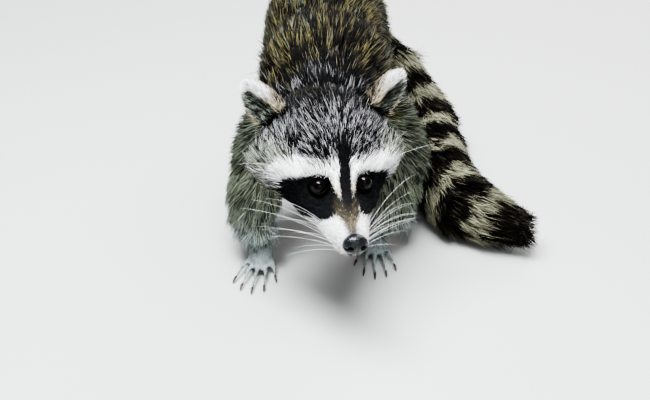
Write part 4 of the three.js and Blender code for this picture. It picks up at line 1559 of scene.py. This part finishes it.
class MakeNose(bpy.types.Operator):
    """Makes the nose's leather"""

    bl_idname = "raccoon.make_nose"
    bl_label = "Nose"

    def execute(self, context):
        points, faces, pit = nose_shape()
        pad = put("nose_pad", points, faces, nose_finish(context.scene.raccoon_face), pit=pit)
        tie(pad, "nose_leather", "nose")
        return {"FINISHED"}


class MakeClaws(bpy.types.Operator):
    """Makes the claws of each foot, from the solids of its claws"""

    bl_idname = "raccoon.make_claws"
    bl_label = "Claws"

    def execute(self, context):
        horn = claw_finish(context.scene.raccoon_face)
        for foot in FEET:
            nodes = sorted(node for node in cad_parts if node.startswith(f"{foot}_claw"))
            shapes = [rounded(node) for node in nodes]
            points, faces = joined([(points, faces) for points, faces, _ in shapes])
            along = np.concatenate([along for _, _, along in shapes])
            tie(put(f"claws_{foot}", points, faces, horn, along=along), "claw", *nodes)
        return {"FINISHED"}


class MakeWhiskers(bpy.types.Operator):
    """Makes the whiskers of the lips and the few above the eyes"""

    bl_idname = "raccoon.make_whiskers"
    bl_label = "Whiskers"

    def execute(self, context):
        longest = context.scene.raccoon_face.whisker / MM
        rng = np.random.default_rng(11)
        surface = grown["hide"].surface
        tree = BVHTree.FromPolygons([Vector(p) for p in surface.points], surface.triangles.tolist())
        shapes = []
        for s in SIDES.values():
            for row in range(WHISKER_ROWS):
                for place in range(WHISKERS_IN_ROW):
                    here = FIRST_WHISKER + place * NEXT_WHISKER + row * NEXT_ROW
                    start = HEAD.outside(here[:3] * (s, 1, 1))
                    way = HEAD.way((here[3:6] + (0, 0, rng.normal(0, 0.07))) * (s, 1, 1))
                    length = longest * here[6] * rng.uniform(0.75, 1.1)
                    shapes.append(whisker(tree, start, way, length, 1.05 - 0.15 * row, rng))
            for place in range(BROW_WHISKERS):
                here = FIRST_BROW_WHISKER + place * NEXT_BROW_WHISKER
                start, way = HEAD.outside(here[:3] * (s, 1, 1)), HEAD.way(here[3:] * (s, 1, 1))
                shapes.append(whisker(tree, start, way, longest * 0.6, 0.4, rng))
        points, faces = joined([(points, faces) for points, faces, _ in shapes])
        along = np.concatenate([along for _, _, along in shapes])
        tie(put("whiskers", points, faces, whisker_finish(), along=along), "head_fur")
        return {"FINISHED"}


# Each piece of the coat: which kinds of coat it covers, the slot of its finish, and how it is parted.
COAT_PIECES = {
    "face": (("head", "lower_jaw"), "head_fur", ("muzzle", "brow", "crown")),
    "ears": (("ear",), "ear_fur", ("",)),
    "neck": (("neck",), "body_fur", ("",)),
    "chest": (("chest",), "body_fur", ("left", "right")),
    "hindquarters": (("hindquarters",), "body_fur", ("left", "right")),
    "tail": (("tail",), "tail_fur", ("near", "far")),
    "forelegs": (("foreleg upper", "foreleg lower"), "leg_fur", ("left", "right")),
    "hindlegs": (("thigh", "shank"), "leg_fur", ("left", "right")),
    "feet": (("forefoot", "hindfoot"), "paw_fur", ("left", "right")),
}
BROW_FROM, CROWN_FROM = 6, 42  # where these parts of the face's coat begin, up the face


def in_part(middles, part):
    """Which triangles belong to a part of a piece, by their middles."""
    aside, behind = (middles[:, i] - middles[:, i].mean() for i in range(2))
    up = face_height(HEAD.inside(middles))
    return {
        "": np.ones(len(middles), bool),
        "near": behind > 0,
        "far": behind <= 0,
        "left": aside > 0,
        "right": aside <= 0,
        "muzzle": up < BROW_FROM,
        "brow": (up >= BROW_FROM) & (up < CROWN_FROM),
        "crown": up >= CROWN_FROM,
    }[part]


class GrowCoat(bpy.types.Operator):
    """Grows one piece of the coat, in its parts"""

    bl_idname = "raccoon.grow_coat"
    bl_label = "Coat"

    piece: StringProperty(name="Piece", description="Which piece of the coat to grow", default="face")

    def execute(self, context):
        hide = grown["hide"]
        groups, slot, parts = COAT_PIECES[self.piece]
        corner = hide.surface.triangles[:, 0]
        mine = np.isin(hide.group[corner], [GROUPS.index(group) for group in groups])
        middles = hide.surface.points[hide.surface.triangles].mean(1)
        for number, part in enumerate(parts):
            chosen = np.zeros(len(mine), bool)
            chosen[mine] = in_part(middles[mine], part)
            name = "_".join(word for word in ("coat", self.piece, part) if word)
            grow_coat(name, chosen, slot, 10 * list(COAT_PIECES).index(self.piece) + number)
        return {"FINISHED"}


class RaccoonPanel(bpy.types.Panel):
    """Lists the pieces and what a user would change"""

    bl_idname = "VIEW3D_PT_raccoon"
    bl_label = "Raccoon"
    bl_space_type = "VIEW_3D"
    bl_region_type = "UI"
    bl_category = "Raccoon"

    def draw(self, context):
        for name in SETTINGS:
            box = self.layout.box()
            group = getattr(context.scene, name)
            for key in settings_of(group):
                box.prop(group, key)
        for operator in PIECES:
            self.layout.operator(operator.bl_idname)
        for piece in COAT_PIECES:
            self.layout.operator(GrowCoat.bl_idname, text=f"Coat: {piece}").piece = piece


SETTINGS = {
    "raccoon_coat": CoatSizes,
    "raccoon_colours": CoatColours,
    "raccoon_face": FaceLooks,
    "raccoon_stage": StageSizes,
}
PIECES = (MakeStage, MakeSkin, MakeEyes, MakeNose, MakeClaws, MakeWhiskers)
CLASSES = (*SETTINGS.values(), *PIECES, GrowCoat, RaccoonPanel)


def register():
    for cls in CLASSES:
        bpy.utils.register_class(cls)
    for name, group in SETTINGS.items():
        setattr(bpy.types.Scene, name, PointerProperty(type=group))


def unregister():
    for name in SETTINGS:
        delattr(bpy.types.Scene, name)
    for cls in reversed(CLASSES):
        bpy.utils.unregister_class(cls)


def main():
    """Makes the whole scene."""
    register()
    bpy.ops.raccoon.make_stage()
    bpy.ops.raccoon.make_skin()
    bpy.ops.raccoon.make_eyes()
    bpy.ops.raccoon.make_nose()
    bpy.ops.raccoon.make_claws()
    bpy.ops.raccoon.make_whiskers()
    for piece in COAT_PIECES:
        bpy.ops.raccoon.grow_coat(piece=piece)


if __name__ == "__main__":
    main()
